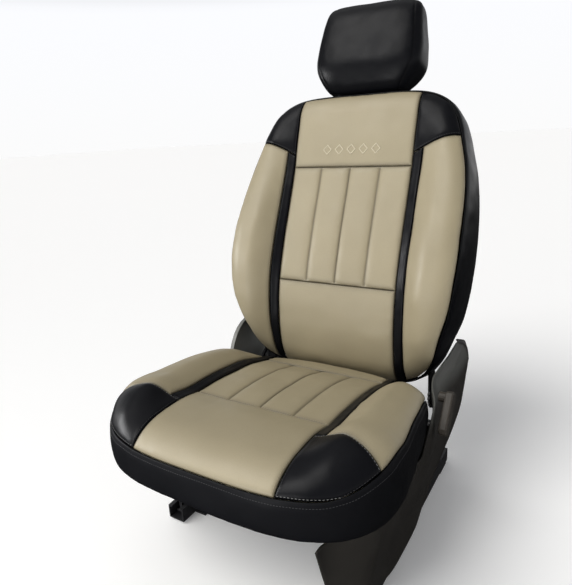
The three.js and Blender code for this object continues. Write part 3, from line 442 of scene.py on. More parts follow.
# the pale tone is painted light on the upper face of the shield; the plastic itself is the darker tone
shield_plastic = moulded("shield_plastic", "dark_plastic", SHIELD_TONE, 0.5, 0.22, 0.25,
                         pale=(0.085, 0.086, 0.079))
grey_plastic = moulded("grey_cover_plastic", "grey_plastic", (0.17, 0.172, 0.16), 0.5, 0.22, 0.35)
black_plastic = moulded("black_plastic", "black_plastic", (0.011, 0.011, 0.012), 0.42, 0.12)
red_plastic = moulded("red_button_plastic", "red_plastic", (0.50, 0.022, 0.035), 0.3, 0.05)
steel = metal("painted_steel", "black_steel", (0.017, 0.017, 0.019), 0.42, 0.15)
bright = metal("plated_steel", "bright_steel", (0.60, 0.60, 0.62), 0.2, 1.0)
webbing = woven("elastic_webbing", "webbing", (0.02, 0.02, 0.022))


# ---------- sewn panels ----------
def edge_roll(distance, width):
    """0 at the top of a padded edge, 1 down in its seam, turning over like a quarter round."""
    t = np.clip(distance / width, 0, 1)
    return 1 - np.sqrt(1 - (1 - t) ** 2)


class Panel:
    """A grid over a padded surface, sunk at its seams and crowned between them."""

    def __init__(self, base):
        self.base, self.normals = base, grid_normals(base)
        self.across, self.up = along(base, 1), along(base, 0)

    def shape(self, sink=3.2, roll=9.0, crown=2.0, channels=(), channel_depth=5.4, channel_roll=19.0,
              wrinkle=0.5, pucker=0.35, seed=0):
        left, right = self.across, self.across[:, -1:] - self.across
        low, high = self.up, self.up[-1:] - self.up
        sides = np.stack([edge_roll(e, roll) for e in (left, right, low, high)])
        seam = (sides**4).sum(0) ** 0.25
        height = -sink * np.minimum(seam, 1.15)
        s = left / self.across[:, -1:]
        t = low / self.up[-1:]
        height += crown * (1 - (2 * s - 1) ** 4) * (1 - (2 * t - 1) ** 4)
        edge = np.minimum(np.minimum(left, right), np.minimum(low, high))
        near = np.exp(-edge / 4.0)
        for channel in channels:
            gap = np.abs(s - channel) * self.across[:, -1:]
            ends = smooth(low / 5.0) * smooth(high / 5.0)
            height -= channel_depth * edge_roll(gap, channel_roll) * ends
            near = np.maximum(near, np.exp(-gap / 2.2))
            edge = np.minimum(edge, gap)
        where = self.base
        height += wrinkle * (noise(where, 58, seed) + 0.5 * noise(where, 27, seed + 3))
        height += pucker * noise(where, 10, seed + 5) * np.exp(-edge / 11.0) * smooth(edge / 3.0)
        self.points = self.base + self.normals * height[..., None]
        self.out = grid_normals(self.points)
        # near seams and flute channels the vinyl is painted darker by this value: painted shade, with some
        # dirt
        self.seam = near
        return self

    def line(self, side, offset):
        """Points and normals along a side, the offset in from its seam."""
        across = side in ("left", "right")
        run = self.across if across else self.up.T
        points = self.points if across else self.points.transpose(1, 0, 2)
        normals = self.out if across else self.out.transpose(1, 0, 2)
        total = run[:, -1]
        want = np.full(len(run), float(offset)) if side in ("left", "low") else total - offset
        line = [interpolate(w, r, p) for w, r, p in zip(want, run, points)]
        out = [interpolate(w, r, n) for w, r, n in zip(want, run, normals)]
        return np.array(line), unit(np.array(out))

    def build(self, name, material, body, replaced, fill=0.9):
        rows, columns = self.points.shape[:2]
        piece = mesh_object(name, self.points, grid_faces(rows, columns), material, body, replaced,
                            values={"seam": self.seam})
        return thicken(piece, COVER)


def lay(surface, flat, us, vs, mirror):
    """A panel of a flat shape on a padded surface, on the other side of the seat if mirrored."""
    u, v = np.meshgrid(us, vs)
    if mirror:
        u = u[:, ::-1]
    flat_points = flat(u, v)
    x = -flat_points[..., 0] if mirror else flat_points[..., 0]
    return Panel(surface(np.stack([x, flat_points[..., 1]], -1)))


def coons(low, high, left, right):
    """Blends four boundary curves, each a function from 0..1 to (a, b), over the unit square."""
    gap = 0.35

    def flat(u, v):
        wide = np.linalg.norm(low(np.array(1.0)) - low(np.array(0.0)))
        tall = np.linalg.norm(left(np.array(1.0)) - left(np.array(0.0)))
        u = mix(gap / wide, 1 - gap / wide, u)
        v = mix(gap / tall, 1 - gap / tall, v)
        a, b = u[..., None], v[..., None]
        corner = {(i, j): (low, high)[j](np.array(float(i))) for i in (0, 1) for j in (0, 1)}
        return ((1 - b) * low(u) + b * high(u) + (1 - a) * left(v) + a * right(v)
                - ((1 - a) * (1 - b) * corner[0, 0] + a * (1 - b) * corner[1, 0]
                   + (1 - a) * b * corner[0, 1] + a * b * corner[1, 1]))

    return flat


def straight(a, b):
    a, b = np.array(a, float), np.array(b, float)
    return lambda t: a + (b - a) * np.asarray(t)[..., None]


def curve_x(x0, x1, height):
    """Boundary that runs from x0 to x1 with its second coordinate given by a function of x."""
    def points(t):
        x = mix(x0, x1, np.asarray(t, float))
        return np.stack([x, height(x)], -1)
    return points


def curve_y(y0, y1, reach):
    """Boundary that runs from y0 to y1 with its first coordinate given by a function of y."""
    def points(t):
        y = mix(y0, y1, np.asarray(t, float))
        return np.stack([reach(y), y], -1)
    return points


def at(curve, x):
    return float(curve(np.array(float(x))))


def level(height):
    """A straight seam across the seat."""
    return lambda x: np.full(np.shape(x), float(height))


def patch(low, high, inner, low_end, high_end=None, outer=None):
    """Flat shape between two seams across, with straight sides unless an outer one is given."""
    def side(x):
        return straight((x, at(low, x)), (x, at(high, x)))

    high_end = low_end if high_end is None else high_end
    return coons(curve_x(inner, low_end, low), curve_x(inner, high_end, high), side(inner),
                 outer or side(low_end))


def sewn(colour, *sides, offset=3.2):
    """Rows of stitches along sides of a panel, in from their seams."""
    return [(colour, side, offset) for side in sides]


STRIP_WIDTH = STRIP_OUTER - INSERT_HALF
STRIP_LOOK = dict(sink=2.4, roll=5.0, crown=1.2, pucker=0.3)
FLUTES = (0.25, 0.5, 0.75)


class Cover:
    """A sewn cover: its padded surface, the body it rides on, and the lines of its stitching by colour."""

    def __init__(self, part, surface, body):
        self.part, self.surface, self.body = part, surface, body
        self.stitching = {}

    def sew(self, name, node, material, flat, us, vs, rows, mirror=False, **look):
        panel = lay(self.surface, flat, us, vs, mirror).shape(**look)
        panel.build(f"cover_{self.part}_{name}", material, self.body, [f"{self.part}_{node}"])
        swapped = {"left": "right", "right": "left"} if mirror else {}
        for colour, side, offset in rows:
            self.stitching.setdefault(colour, []).append(panel.line(swapped.get(side, side), offset))
        return panel

    def sew_middle(self, seed, pieces):
        """Beige panels between the strips, one after another up the middle."""
        made = []
        width = 2 * INSERT_HALF
        for k, (name, node, low, high, length, rows, look) in enumerate(pieces):
            across = tuple(width * share for share in (0, *look.get("channels", ()), 1))
            made.append(self.sew(name, node, beige, patch(low, high, -INSERT_HALF, INSERT_HALF),
                                 spaced(width, across), spaced(length), rows, seed=seed + k, **look))
        return made

    def sew_sides(self, seed, pieces):
        """Each piece on the left, with its inner side called left, and again on the right, mirrored."""
        for side, mirror in (("left", False), ("right", True)):
            for k, (name, material, flat, us, vs, rows, look) in enumerate(pieces):
                self.sew(f"{name}_{side}", f"{name}_{side}", material, flat, us, vs, rows, mirror,
                         seed=seed + 10 * mirror + k, **look)

    def stitch(self, colour, material, **look):
        stitch_mesh(f"stitching_{self.part}_{colour}", self.stitching[colour], material, self.body, **look)


def super_power(value, power):
    return np.sign(value) * np.abs(value) ** power


class Outline:
    """A superellipse that runs from low to high, with a power for each end and a changing half-width."""

    def __init__(self, low, high, low_power, high_power, half):
        self.low, self.high = low, high
        self.middle, self.reach = (low + high) / 2, (high - low) / 2
        self.low_power, self.high_power = low_power, high_power
        self.half = half

    def power(self, run):
        return np.where(run < self.middle, self.low_power, self.high_power)

    def share(self, x, run):
        """0 in the middle, 1 on the outline."""
        p = self.power(run)
        across, ahead = np.abs(x) / self.half(run), np.abs(run - self.middle) / self.reach
        return (across**p + ahead**p) ** (1 / p)

    def edge_x(self, run):
        p = self.power(run)
        return self.half(run) * (1 - np.minimum(1, np.abs(run - self.middle) / self.reach) ** p) ** (1 / p)

    def crossing(self, end):
        """Where the outline crosses x on the way from its middle to an end."""
        def edge(x):
            inside = np.full(np.shape(x), self.middle)
            outside = np.full(np.shape(x), end)
            for _ in range(40):
                run = (inside + outside) / 2
                wider = self.edge_x(run) > np.abs(x)
                inside, outside = np.where(wider, run, inside), np.where(wider, outside, run)
            return inside
        return edge

    def loop(self, step=3.0):
        """Points at even steps round the outline, with their outward directions."""
        turn = np.linspace(0, 2 * math.pi, 20001)[:-1]
        c, s = np.cos(turn), np.sin(turn)
        p = 2 / np.where(s < 0, self.low_power, self.high_power)
        run = self.middle + self.reach * super_power(s, p)
        dense = np.stack([self.half(run) * super_power(c, p), run], -1)
        closed = np.concatenate([dense, dense[:1]])
        length = np.concatenate([[0], np.cumsum(np.linalg.norm(np.diff(closed, axis=0), axis=1))])
        count = int(length[-1] / step)
        points = interpolate(np.linspace(0, length[-1], count + 1)[:-1], length, closed)
        ahead = np.roll(points, -1, 0) - np.roll(points, 1, 0)
        return points, unit(np.stack([ahead[:, 1], -ahead[:, 0]], -1))


def edge_drop(q, depth):
    """Fall of a padded edge, as q goes from 0 where it starts to 1 on the outline."""
    return depth * (1 - np.sqrt(1 - (0.93 * q) ** 2))


def ring(loop, out, stand, third):
    """A ring of points that stands off from an outline, with a third coordinate."""
    return np.column_stack([loop + out * np.reshape(stand, (-1, 1)), np.broadcast_to(third, len(loop))])


# ---------- cushion shape ----------
FRONT_HALF, REAR_HALF = 261.0, 240.0
CORNER_DROP, SIDE_DROP = 47.0, 34.0
BORDER_BOTTOM = 197.0
cushion_centre = knots([(-480, 279), (-440, 285), (-395, 290), (-348, 290), (-304, 283), (-250, 281),
                        (-200, 277), (-140, 269), (-77, 253), (-10, 240)])
cushion_rise = knots([(-472, 4), (-420, 12), (-370, 22), (-300, 24), (-150, 22), (-80, 14), (-10, 4)])


def cushion_half(y):
    return mix(FRONT_HALF, REAR_HALF, smooth((y + 385) / 230))


CUSHION = Outline(-472.0, -10.0, 3.6, 3.0, cushion_half)


def cushion_top(x, y):
    behind_middle = (y > CUSHION.middle) & (np.abs(x) < STRIP_OUTER)
    start = np.where(behind_middle, 0.88, mix(0.75, 0.8, smooth((y + 240) / 150)))
    q = np.clip((CUSHION.share(x, y) - start) / (1 - start), 0, 1)
    corner = smooth((np.abs(x) - 140) / 60) * smooth((-320 - y) / 60)
    depth = mix(SIDE_DROP, CORNER_DROP, np.maximum(corner, smooth((y + 150) / 60)))
    rise = cushion_rise(y) * smooth((np.abs(x) - INSERT_HALF) / 62)
    return cushion_centre(y) + rise - edge_drop(q, depth)


def on_cushion(flat):
    return np.concatenate([flat, cushion_top(flat[..., 0], flat[..., 1])[..., None]], -1)


def corner_seam(x):
    s = np.clip((np.abs(x) - INSERT_HALF) / (FRONT_HALF - INSERT_HALF), 0, 1)
    return mix(-350.0, -384.0, s**1.6)


def corner_tip():
    """Where the seam of the front corner patch meets the outline."""
    x = 240.0
    for _ in range(20):
        x = float(CUSHION.edge_x(corner_seam(np.array(x))))
    return x, float(corner_seam(np.array(x)))


def cushion_covers():
    front, rear = CUSHION.crossing(CUSHION.low), CUSHION.crossing(CUSHION.high)
    flute_front, flute_rear = level(-304), level(-77)
    cover = Cover("cushion", on_cushion, "seat_base")
    cover.sew_middle(0, [
        ("front", "front_panel", front, flute_front, 190, sewn("beige", "high", "left", "right"),
         dict(crown=1.5)),
        ("flutes", "fluted_panel", flute_front, flute_rear, 227, sewn("beige", "low", "left", "right"),
         dict(channels=FLUTES, crown=0.8, sink=4.4, roll=15.0)),
        ("rear", "rear_panel", flute_rear, rear, 80, sewn("beige", "low", "left", "right"),
         dict(crown=1.0)),
    ])

    edge, outer = INSERT_HALF, STRIP_OUTER
    tip_x, tip_y = corner_tip()
    heel, nose = -60.0, 215.0
    bolster = patch(corner_seam, rear, outer, tip_x, at(CUSHION.edge_x, heel),
                    curve_y(tip_y, heel, CUSHION.edge_x))
    corner = patch(front, corner_seam, edge, nose, tip_x, curve_y(at(front, nose), tip_y, CUSHION.edge_x))
    cover.sew_sides(10, [
        ("strip", black, patch(corner_seam, rear, edge, outer), spaced(STRIP_WIDTH, None, 0.9, 2.0, 8),
         spaced(350), [], STRIP_LOOK),
        ("bolster", beige, bolster, spaced(120), spaced(350), sewn("beige", "left", "low"),
         dict(crown=2.5, wrinkle=0.8)),
        ("corner", black, corner, spaced(110), spaced(120),
         sewn("black", "left") + sewn("black", "right", offset=3.0)
         + sewn("grey", "low", "high", offset=2.8),
         dict(crown=2.0, wrinkle=0.7)),
    ])
    cover.stitch("beige", beige_thread)
    cover.stitch("black", black_thread)
    cover.stitch("grey", grey_thread, pitch=5.2, radius=0.38)


def cushion_skirt():
    """Dark border round the cushion, drawn in under the edge by its elastic hem."""
    loop, out = CUSHION.loop()
    edge_height = cushion_top(loop[:, 0], loop[:, 1])
    top = edge_height - 2.4
    shares = (0, 0.02, 0.05, 0.1, 0.17, 0.25, 0.34, 0.43, 0.52, 0.61, 0.7, 0.78, 0.85, 0.91, 0.96, 1.0)
    bulge = knots([(0, 0.8), (0.05, 1.9), (0.17, 3.8), (0.5, 5.0), (0.8, 4.4), (0.93, 3.0), (1.0, 0.0)])
    lip = ((-6.0, -5.6), (-3.6, -3.6), (-1.8, -1.7), (-0.5, -1.3))  # turned in under the edge of the panels
    hem = ((-4.0, -0.9), (-9.0, -1.4), (-14.0, -1.0), (-17.0, 0.8))
    rows = [ring(loop, out, inset, edge_height + drop) for inset, drop in lip]
    rows += [ring(loop, out, bulge(t), mix(top, BORDER_BOTTOM + 1.2, t)) for t in shares]
    rows += [ring(loop, out, inset, BORDER_BOTTOM + rise) for inset, rise in hem]
    points = np.array(rows)
    normals = -grid_normals(points, wrap=True)
    depth = along(points, 0)
    height = 1.1 * noise(points, 75, 31) * smooth(depth / 20)
    height += 0.45 * noise(points, 24, 33) * smooth(depth / 14)
    near_hem = smooth((depth / depth[-1:] - 0.72) / 0.2)
    gathers = 0.7 * noise(points * np.array([1, 1, 0.25]), 9, 35) * near_hem
    points = points + normals * (height + gathers)[..., None]
    faces = grid_faces(*points.shape[:2], wrap=True)[:, ::-1]
    thicken(mesh_object("cover_cushion_skirt", points, faces, skirt_black, "seat_base", ["cushion_border"],
                        values={"seam": np.exp(-depth / 4.0)}), COVER)
    for row, name in ((7, "stitching_skirt_top"), (-2, "stitching_skirt_hem")):
        line = np.concatenate([points[row], points[row][:1]])
        face = np.concatenate([normals[row], normals[row][:1]])
        stitch_mesh(name, [(line, face)], black_thread, "seat_base")


# ---------- backrest shape ----------
back_centre = knots([(8, 64), (22, 72), (60, 93), (110, 113), (196, 129), (280, 128), (360, 121),
                     (441, 115), (500, 116), (594, 114)])
back_half = knots([(8, 220), (100, 226), (165, 240), (250, 247), (350, 245), (430, 236), (497, 224),
                   (594, 215)])
back_rise = knots([(8, 0), (60, 9), (120, 27), (200, 36), (300, 34), (350, 30), (440, 18), (510, 8),
                   (594, 0)])
back_rear_face = knots([(8, 18), (60, 10), (150, 4), (420, 2), (520, 12), (594, 30)])
BACK = Outline(8.0, 594.0, 5.0, 5.2, back_half)


def back_front(x, w):
    q = np.clip((BACK.share(x, w) - 0.86) / 0.14, 0, 1)
    return back_centre(w) + back_rise(w) * smooth((np.abs(x) - INSERT_HALF) / 66) - edge_drop(q, 26)


def back_rear(x, w):
    q = np.clip((BACK.share(x, w) - 0.88) / 0.12, 0, 1)
    return back_rear_face(w) + edge_drop(q, 14)


def on_back(flat):
    return back_axes(np.concatenate([flat, back_front(flat[..., 0], flat[..., 1])[..., None]], -1))


def shoulder_seam(x):
    s = np.clip((np.abs(x) - INSERT_HALF) / (220 - INSERT_HALF), 0, 1)
    return mix(466.0, 497.0, 1 - (1 - s) ** 1.6)


def back_covers():
    """Front of the backrest cover. Returns its yoke panel."""
    top, bottom = BACK.crossing(BACK.high), BACK.crossing(BACK.low)
    lumbar_top, yoke_bottom = level(196), level(441)
    cover = Cover("back", on_back, "backrest")
    yoke = cover.sew_middle(40, [
        ("lumbar", "lumbar_panel", bottom, lumbar_top, 200, sewn("beige", "left", "right", "high"),
         dict(crown=2.0, wrinkle=0.8)),
        ("flutes", "fluted_panel", lumbar_top, yoke_bottom, 245, sewn("beige", "left", "right"),
         dict(channels=FLUTES, crown=0.8, sink=4.0, roll=13.0)),
        ("yoke", "yoke_panel", yoke_bottom, top, 155, sewn("beige", "left", "right", "low"),
         dict(crown=1.5)),
    ])[-1]

    edge, outer = INSERT_HALF, STRIP_OUTER
    seam_end = at(BACK.edge_x, 497)
    end_w = at(shoulder_seam, seam_end)
    heel, shoulder = 50.0, 196.0
    bolster = patch(bottom, shoulder_seam, outer, at(BACK.edge_x, heel), seam_end,
                    curve_y(heel, end_w, BACK.edge_x))
    corner = patch(shoulder_seam, top, edge, seam_end, shoulder,
                   curve_y(end_w, at(top, shoulder), BACK.edge_x))
    cover.sew_sides(50, [
        ("strip", black, patch(bottom, shoulder_seam, edge, outer), spaced(STRIP_WIDTH, None, 0.9, 2.0, 8),
         spaced(470), [], STRIP_LOOK),
        ("bolster", beige, bolster, spaced(110), spaced(470),
         sewn("beige", "left") + sewn("beige", "right", offset=3.0) + sewn("beige", "high"),
         dict(crown=2.5, wrinkle=0.9)),
        ("shoulder", black, corner, spaced(90), spaced(110),
         sewn("black", "left", "low") + sewn("black", "right", offset=3.0), dict(crown=2.0, wrinkle=0.7)),
    ])
    cover.stitch("beige", beige_thread)
    cover.stitch("black", black_thread)
    return yoke


def back_band():
    """Dark band between the front and the rear of the backrest."""
    loop, out = BACK.loop()
    x, w = loop[:, 0], loop[:, 1]
    bulge = 4 * smooth((w - 20) / 80) * (1 - 0.7 * smooth((w - 560) / 25))
    front, rear = back_front(x, w) - 2.2, back_rear(x, w) + 2.2
    rows = []
    for t in (0, 0.02, 0.05, 0.1, 0.17, 0.25, 0.33, 0.42, 0.5, 0.58, 0.67, 0.75, 0.83, 0.9, 0.95, 0.98, 1):
        stand = bulge * (1 - abs(2 * t - 1) ** 2.6) + mix(-1.5, 0.4, float(smooth(min(t, 1 - t) / 0.06)))
        rows.append(ring(loop, out, stand, mix(front, rear, t)))
    flat = np.array(rows)
    points = back_axes(flat)
    normals = grid_normals(points, wrap=True)
    run = along(points, 0)
    edge = np.minimum(run, run[-1:] - run)
    height = 0.8 * noise(points, 70, 71) + 0.35 * noise(points, 22, 73)
    points = points + normals * (height * smooth(edge / 12))[..., None]
    faces = grid_faces(*points.shape[:2], wrap=True)
    piece = mesh_object("cover_back_band", points, faces, black, "backrest", ["back_border"],
                        values={"seam": np.exp(-edge / 4.0)})
    thicken(piece, COVER)
    recliner_cutouts(piece)
    for row, name in ((3, "stitching_band_front"), (-4, "stitching_band_rear")):
        keep = (flat[row][:, 1] > 70) | (np.abs(flat[row][:, 0]) < 150)
        order = np.roll(np.arange(len(keep)), -int(np.argmin(keep)))
        runs = np.split(order, np.where(np.diff(keep[order].astype(int)) != 0)[0] + 1)
        lines = [(points[row][r], normals[row][r]) for r in runs if keep[r[0]] and len(r) > 4]
        stitch_mesh(name, lines, black_thread, "backrest")


RECLINER_X, RECLINER_ROOM, RECLINER_RADIUS = 191, 56, 46  # middle, width and radius of the room for one


def cylinder_cutter(centre_x, length, radius, sides=48):
    """Round tool across the seat on the recliner's axis."""
    turns = [2 * math.pi * k / sides for k in range(sides)]
    points = np.array([[x, PIVOT_Y + radius * math.cos(turn), PIVOT_Z + radius * math.sin(turn)]
                       for x in (centre_x - length / 2, centre_x + length / 2) for turn in turns])
    faces = [[k, (k + 1) % sides, sides + (k + 1) % sides, sides + k] for k in range(sides)]
    faces += [list(range(sides))[::-1], list(range(sides, 2 * sides))]
    mesh = bpy.data.meshes.new("cutter")
    mesh.from_pydata(to_frame(points).tolist(), [], faces)
    return add_object("cutter", mesh)


def recliner_cutouts(piece):
    """Cuts the room for the recliners out of a cover piece and keeps the result as its mesh."""
    for sign in (-1, 1):
        tool = cylinder_cutter(sign * RECLINER_X, RECLINER_ROOM, RECLINER_RADIUS)
        room = piece.modifiers.new("room", "BOOLEAN")
        room.object = tool
        room.operation = "DIFFERENCE"
        room.solver = "FAST"
        bake(piece)
        bpy.data.objects.remove(tool)


def back_rear_cover():
    """Plain rear of the cover, just inside the outline of the backrest."""
    margin = 0.6
    us, vs = spaced(430), spaced(585)
    u, v = np.meshgrid(us, vs)
    # rows crowd towards the top and bottom, where the outline turns across
    w = BACK.middle + (BACK.reach - margin) * np.sin(math.pi * (v - 0.5))
    half = BACK.edge_x(w) - margin
    x = mix(half, -half, u)
    panel = Panel(back_axes(np.stack([x, w, back_rear(x, w)], -1)))
    panel.shape(sink=2.2, roll=6, crown=-1.5, wrinkle=1.1, pucker=0.5, seed=80)
    recliner_cutouts(panel.build("cover_back_rear", rear_black, "backrest", ["back_rear_panel"], fill=0.4))
    stitch_mesh("stitching_back_rear", [panel.line(side, 4.0) for side in ("left", "right")], black_thread,
                "backrest")


def yoke_motif(yoke):
    """A row of plain satin-stitched diamonds on the yoke."""
    count, spacing, half_wide, half_tall = 5, 27.0, 9.0, 9.5
    seam_to_middle = 35.0
    cord_half, cord_lift, cord_height, ridge_share = 1.25, 0.25, 0.62, 0.16
    steps, section = 168, 8
    column = yoke.up.shape[1] // 2
    across = yoke.across - yoke.across[:, -1:] / 2
    up = unit(yoke.points[-8, column] - yoke.points[8, column])
    corners = np.array([[0, 1], [1, 0], [0, -1], [-1, 0], [0, 1]], float)
    t = np.linspace(0, 4, steps + 1)[:-1]
    leg = np.floor(t).astype(int)
    path = corners[leg] + (corners[leg + 1] - corners[leg]) * (t % 1)[:, None]
    ridge = 1 + ridge_share * (-1.0) ** np.arange(steps)
    quads = grid_faces(section + 1, steps, wrap=True)[:, ::-1] % (section * steps)
    points, faces = [], []
    for n in range(count):
        middle = (n - (count - 1) / 2) * spacing
        x, run = middle + path[:, 0] * half_wide, seam_to_middle + path[:, 1] * half_tall
        row = np.array([np.argmin(np.abs(yoke.up[:, column] - r)) for r in run])
        centre = np.array([interpolate(a, across[r], yoke.points[r]) for a, r in zip(x, row)])
        centre = centre + up * (run - yoke.up[row, column])[:, None]
        normal = yoke.out[row, column]
        side = unit(np.cross(normal, unit(np.roll(centre, -1, 0) - np.roll(centre, 1, 0))))
        for k in range(section):
            a = 2 * math.pi * k / section
            lift = cord_height * math.sin(a) * ridge + cord_lift
            points.append(centre + side * (cord_half * math.cos(a)) + normal * lift[:, None])
        faces.append(quads + n * steps * section)
    mesh_object("yoke_motif", np.concatenate(points), np.concatenate(faces), pale_thread, "backrest")


# ---------- headrest ----------
HEAD_BOTTOM, HEAD_TOP, HEAD_POWER = 607.0, 788.0, 4.5
head_half = knots([(607, 84), (619, 94), (644, 111), (664, 117), (704, 115), (749, 109), (776, 104),
                   (788, 98)])
head_front = knots([(607, 89), (619, 100), (654, 112), (704, 112), (749, 107), (776, 98), (788, 87)])
head_rear = knots([(607, 42), (626, 26), (664, 16), (704, 16), (749, 24), (776, 34), (788, 44)])


def headrest_cover():
    """A closed padded form with a gusset seam down each side."""
    body = np.linspace(HEAD_BOTTOM, HEAD_TOP, 80)
    cap = np.linspace(1, 0.02, 26)[1:]
    rings = [(HEAD_BOTTOM - 3.0 * (1 - s**3), s) for s in cap[::-1]] + [(w, 1.0) for w in body]
    rings += [(HEAD_TOP + 10.0 * (1 - s**2.0), s) for s in cap]
    turn = np.linspace(0, 2 * math.pi, 4001)
    turn[-1] = 0
    section = super_power(np.stack([np.cos(turn), np.sin(turn)], -1), 2 / HEAD_POWER)
    steps = np.diff(section * np.array([110, 50]), axis=0)
    run = np.concatenate([[0], np.cumsum(np.hypot(steps[:, 0], steps[:, 1]))])
    c, s = interpolate(np.linspace(0, run[-1], 301)[:-1], run, section).T
    rows = []
    for w, scale in rings:
        height = np.clip(w, HEAD_BOTTOM, HEAD_TOP)
        front, rear = head_front(height), head_rear(height)
        depth = (front + rear) / 2 + s * ((front - rear) / 2) * scale
        rows.append(np.column_stack([c * head_half(height) * scale, np.full(len(c), w), depth]))
    flat = np.array(rows)
    # the stuffing has settled, so one end of the pad is a little fuller
    flat[..., 1] -= 0.04 * flat[..., 0] * smooth((flat[..., 1] - HEAD_BOTTOM) / 120)
    for _ in range(9):  # eases the turn from the sides into the top and bottom
        flat[1:-1] = 0.5 * flat[1:-1] + 0.25 * (flat[:-2] + flat[2:])
    width = head_half(np.clip(flat[..., 1], HEAD_BOTTOM, HEAD_TOP))
    gusset = np.abs(np.abs(flat[..., 0]) - 0.875 * width)
    points = back_axes(flat)
    normals = grid_normals(points, wrap=True)
    centre = points.reshape(-1, 3).mean(0)
    if np.sum(normals * (points - centre)) < 0:
        normals = -normals
    height = -1.3 * edge_roll(gusset, 4.0) + 0.5 * noise(points, 60, 91) + 0.3 * noise(points, 24, 92)
    height += 0.4 * noise(points, 11, 93) * np.exp(-gusset / 9)
    points = points + normals * height[..., None]
    faces = grid_faces(*points.shape[:2], wrap=True)
    count, columns = points.shape[:2]
    poles = np.array([points[0].mean(0), points[-1].mean(0)])
    everything = np.concatenate([points.reshape(-1, 3), poles])
    k = np.arange(columns)
    low = np.stack([np.full(columns, count * columns), (k + 1) % columns, k], -1)
    high = np.stack([np.full(columns, count * columns + 1), (count - 1) * columns + k,
                     (count - 1) * columns + (k + 1) % columns], -1)
    seam = np.append(np.exp(-gusset.ravel() / 2.5), [0, 0])
    replaced = [f"headrest_{part}" for part in ("front_panel", "rear_panel", "side_left", "side_right")]
    piece = mesh_object("cover_headrest", everything, faces.tolist() + low.tolist() + high.tolist(), black,
                        "headrest", replaced, values={"seam": seam})
    face_out(piece)


def face_out(piece):
    """Turns every face of a closed piece outwards."""
    data = bmesh.new()
    data.from_mesh(piece.data)
    bmesh.ops.recalc_face_normals(data, faces=data.faces)
    data.to_mesh(piece.data)
    data.free()


# ---------- foams ----------
def foam_piece(name, node, body):
    """The moulded foam: the frame's solid with its facets melted into one soft skin."""
    piece = add_object(name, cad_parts[node].data.copy())
    remesh = piece.modifiers.new("skin", "REMESH")
    remesh.mode = "VOXEL"
    remesh.voxel_size = 0.005
    soften = piece.modifiers.new("soften", "SMOOTH")
    soften.factor = 0.5
    soften.iterations = 6
    bake(piece)
    piece.data.materials.clear()
    piece.data.materials.append(foam)
    shade_smooth(piece.data)
    declare(piece, body, [node])


# ---------- plastics ----------
shield_bottom = knots([(-424, 88), (-345, 46), (-290, 20), (-250, 10), (-150, 8), (-113, 18), (-50, 38),
                       (4, 64), (52, 105), (99, 170), (142, 238)])
shield_top = knots([(-456, 186), (-300, 187), (-225, 187), (-188, 191), (-166, 220), (-142, 250),
                    (-112, 269), (-70, 279), (0, 284), (40, 292), (88, 297)])


def side_shield():
    """Door-side shield: a thin moulding with a scooped pocket for the lever and a turned rear rim."""
    def rear(v):
        bow = np.sin(math.pi * v)
        return np.stack([mix(142, 88, v) + 12 * bow, mix(238, 297, v) + 8 * bow], -1)

    flat = coons(curve_x(-424, 142, shield_bottom), curve_x(-456, 88, shield_top),
                 straight((-424, 88), (-456, 186)), rear)
    u, v = np.meshgrid(spaced(640, (600, 640), 2.0, 4.5, 30), spaced(170, (0, 170), 1.5, 4.0, 20))
    place = flat(u, v)
    y, z = place[..., 0], place[..., 1]
    x = 222 + mix(17, 21, smooth((y + 190) / 50)) * smooth((z - 30) / 140) - 52 * smooth((-362 - y) / 84)
    x = x + 6 * smooth((y + 215) / 30) * smooth((-95 - y) / 40) * smooth((z - 150) / 40)
    x = x - 9 * smooth((v - 0.86) / 0.14) * smooth((y + 120) / 60)
    base = np.stack([x, y, z], -1)
    rear_gap = along(base, 1)[:, -1:] - along(base, 1)
    low_gap = along(base, 0)
    rim = np.minimum(rear_gap, low_gap + 40 * smooth((-60 - y) / 60))
    x = x - 6.5 * smooth(1 - rim / 15) - 2.0 * smooth((rim - 15) / 5) * smooth((y + 150) / 60)
    scoop = np.exp(-(((y + 50) / 70) ** 4 + ((z - 252) / 46) ** 4))
    x = x - 6.0 * scoop
    points = np.stack([x, y, z], -1)
    # the upper part within the rim is painted paler: painted light, where that face of the same moulding
    # catches the light
    pale = smooth((z - 214) / 46) * smooth((rear_gap - 17) / 2.5)
    thicken(mesh_object("shield_door_side", points, grid_faces(*points.shape[:2]), shield_plastic,
                        "seat_base", ["side_shield"], values={"pale": pale}), 3.0)


def finish_node(node, material, bevel):
    """Gives a carried-over frame part its finish, soft edges, and smooth shading except across edges."""
    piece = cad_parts[node]
    mesh = piece.data
    mesh.materials.clear()
    mesh.materials.append(material)
    if bevel:
        soft = piece.modifiers.new("edges", "BEVEL")
        soft.width = bevel / 1000
        soft.segments = 2
        soft.limit_method = "ANGLE"
        soft.angle_limit = math.radians(35)
        soft.harden_normals = False
    shade_smooth(mesh)
    mesh.set_sharp_from_angle(angle=math.radians(32))


def tube(name, points, radius, bend, material, body, replaced):
    """Round bar bent through points given in seat axes."""
    path = []
    corners = [Vector(to_frame(np.array(p, float))) for p in points]
    for k, corner in enumerate(corners):
        if k in (0, len(corners) - 1):
            path.append(corner)
            continue
        before = corner + (corners[k - 1] - corner).normalized() * bend / 1000
        after = corner + (corners[k + 1] - corner).normalized() * bend / 1000
        steps = 10
        for i in range(steps + 1):
            t = i / steps
            path.append((1 - t) ** 2 * before + 2 * t * (1 - t) * corner + t * t * after)
    data = bpy.data.curves.new(name, "CURVE")
    data.dimensions = "3D"
    spline = data.splines.new("POLY")
    spline.points.add(len(path) - 1)
    for point, place in zip(spline.points, path):
        point.co = (*place, 1)
    data.bevel_depth = radius / 1000
    data.bevel_resolution = 6
    data.use_fill_caps = True
    data.materials.append(material)
    holder = add_object(name, data)
    mesh = evaluated(holder)
    bpy.data.objects.remove(holder)
    shade_smooth(mesh)
    declare(add_object(name, mesh), body, replaced)


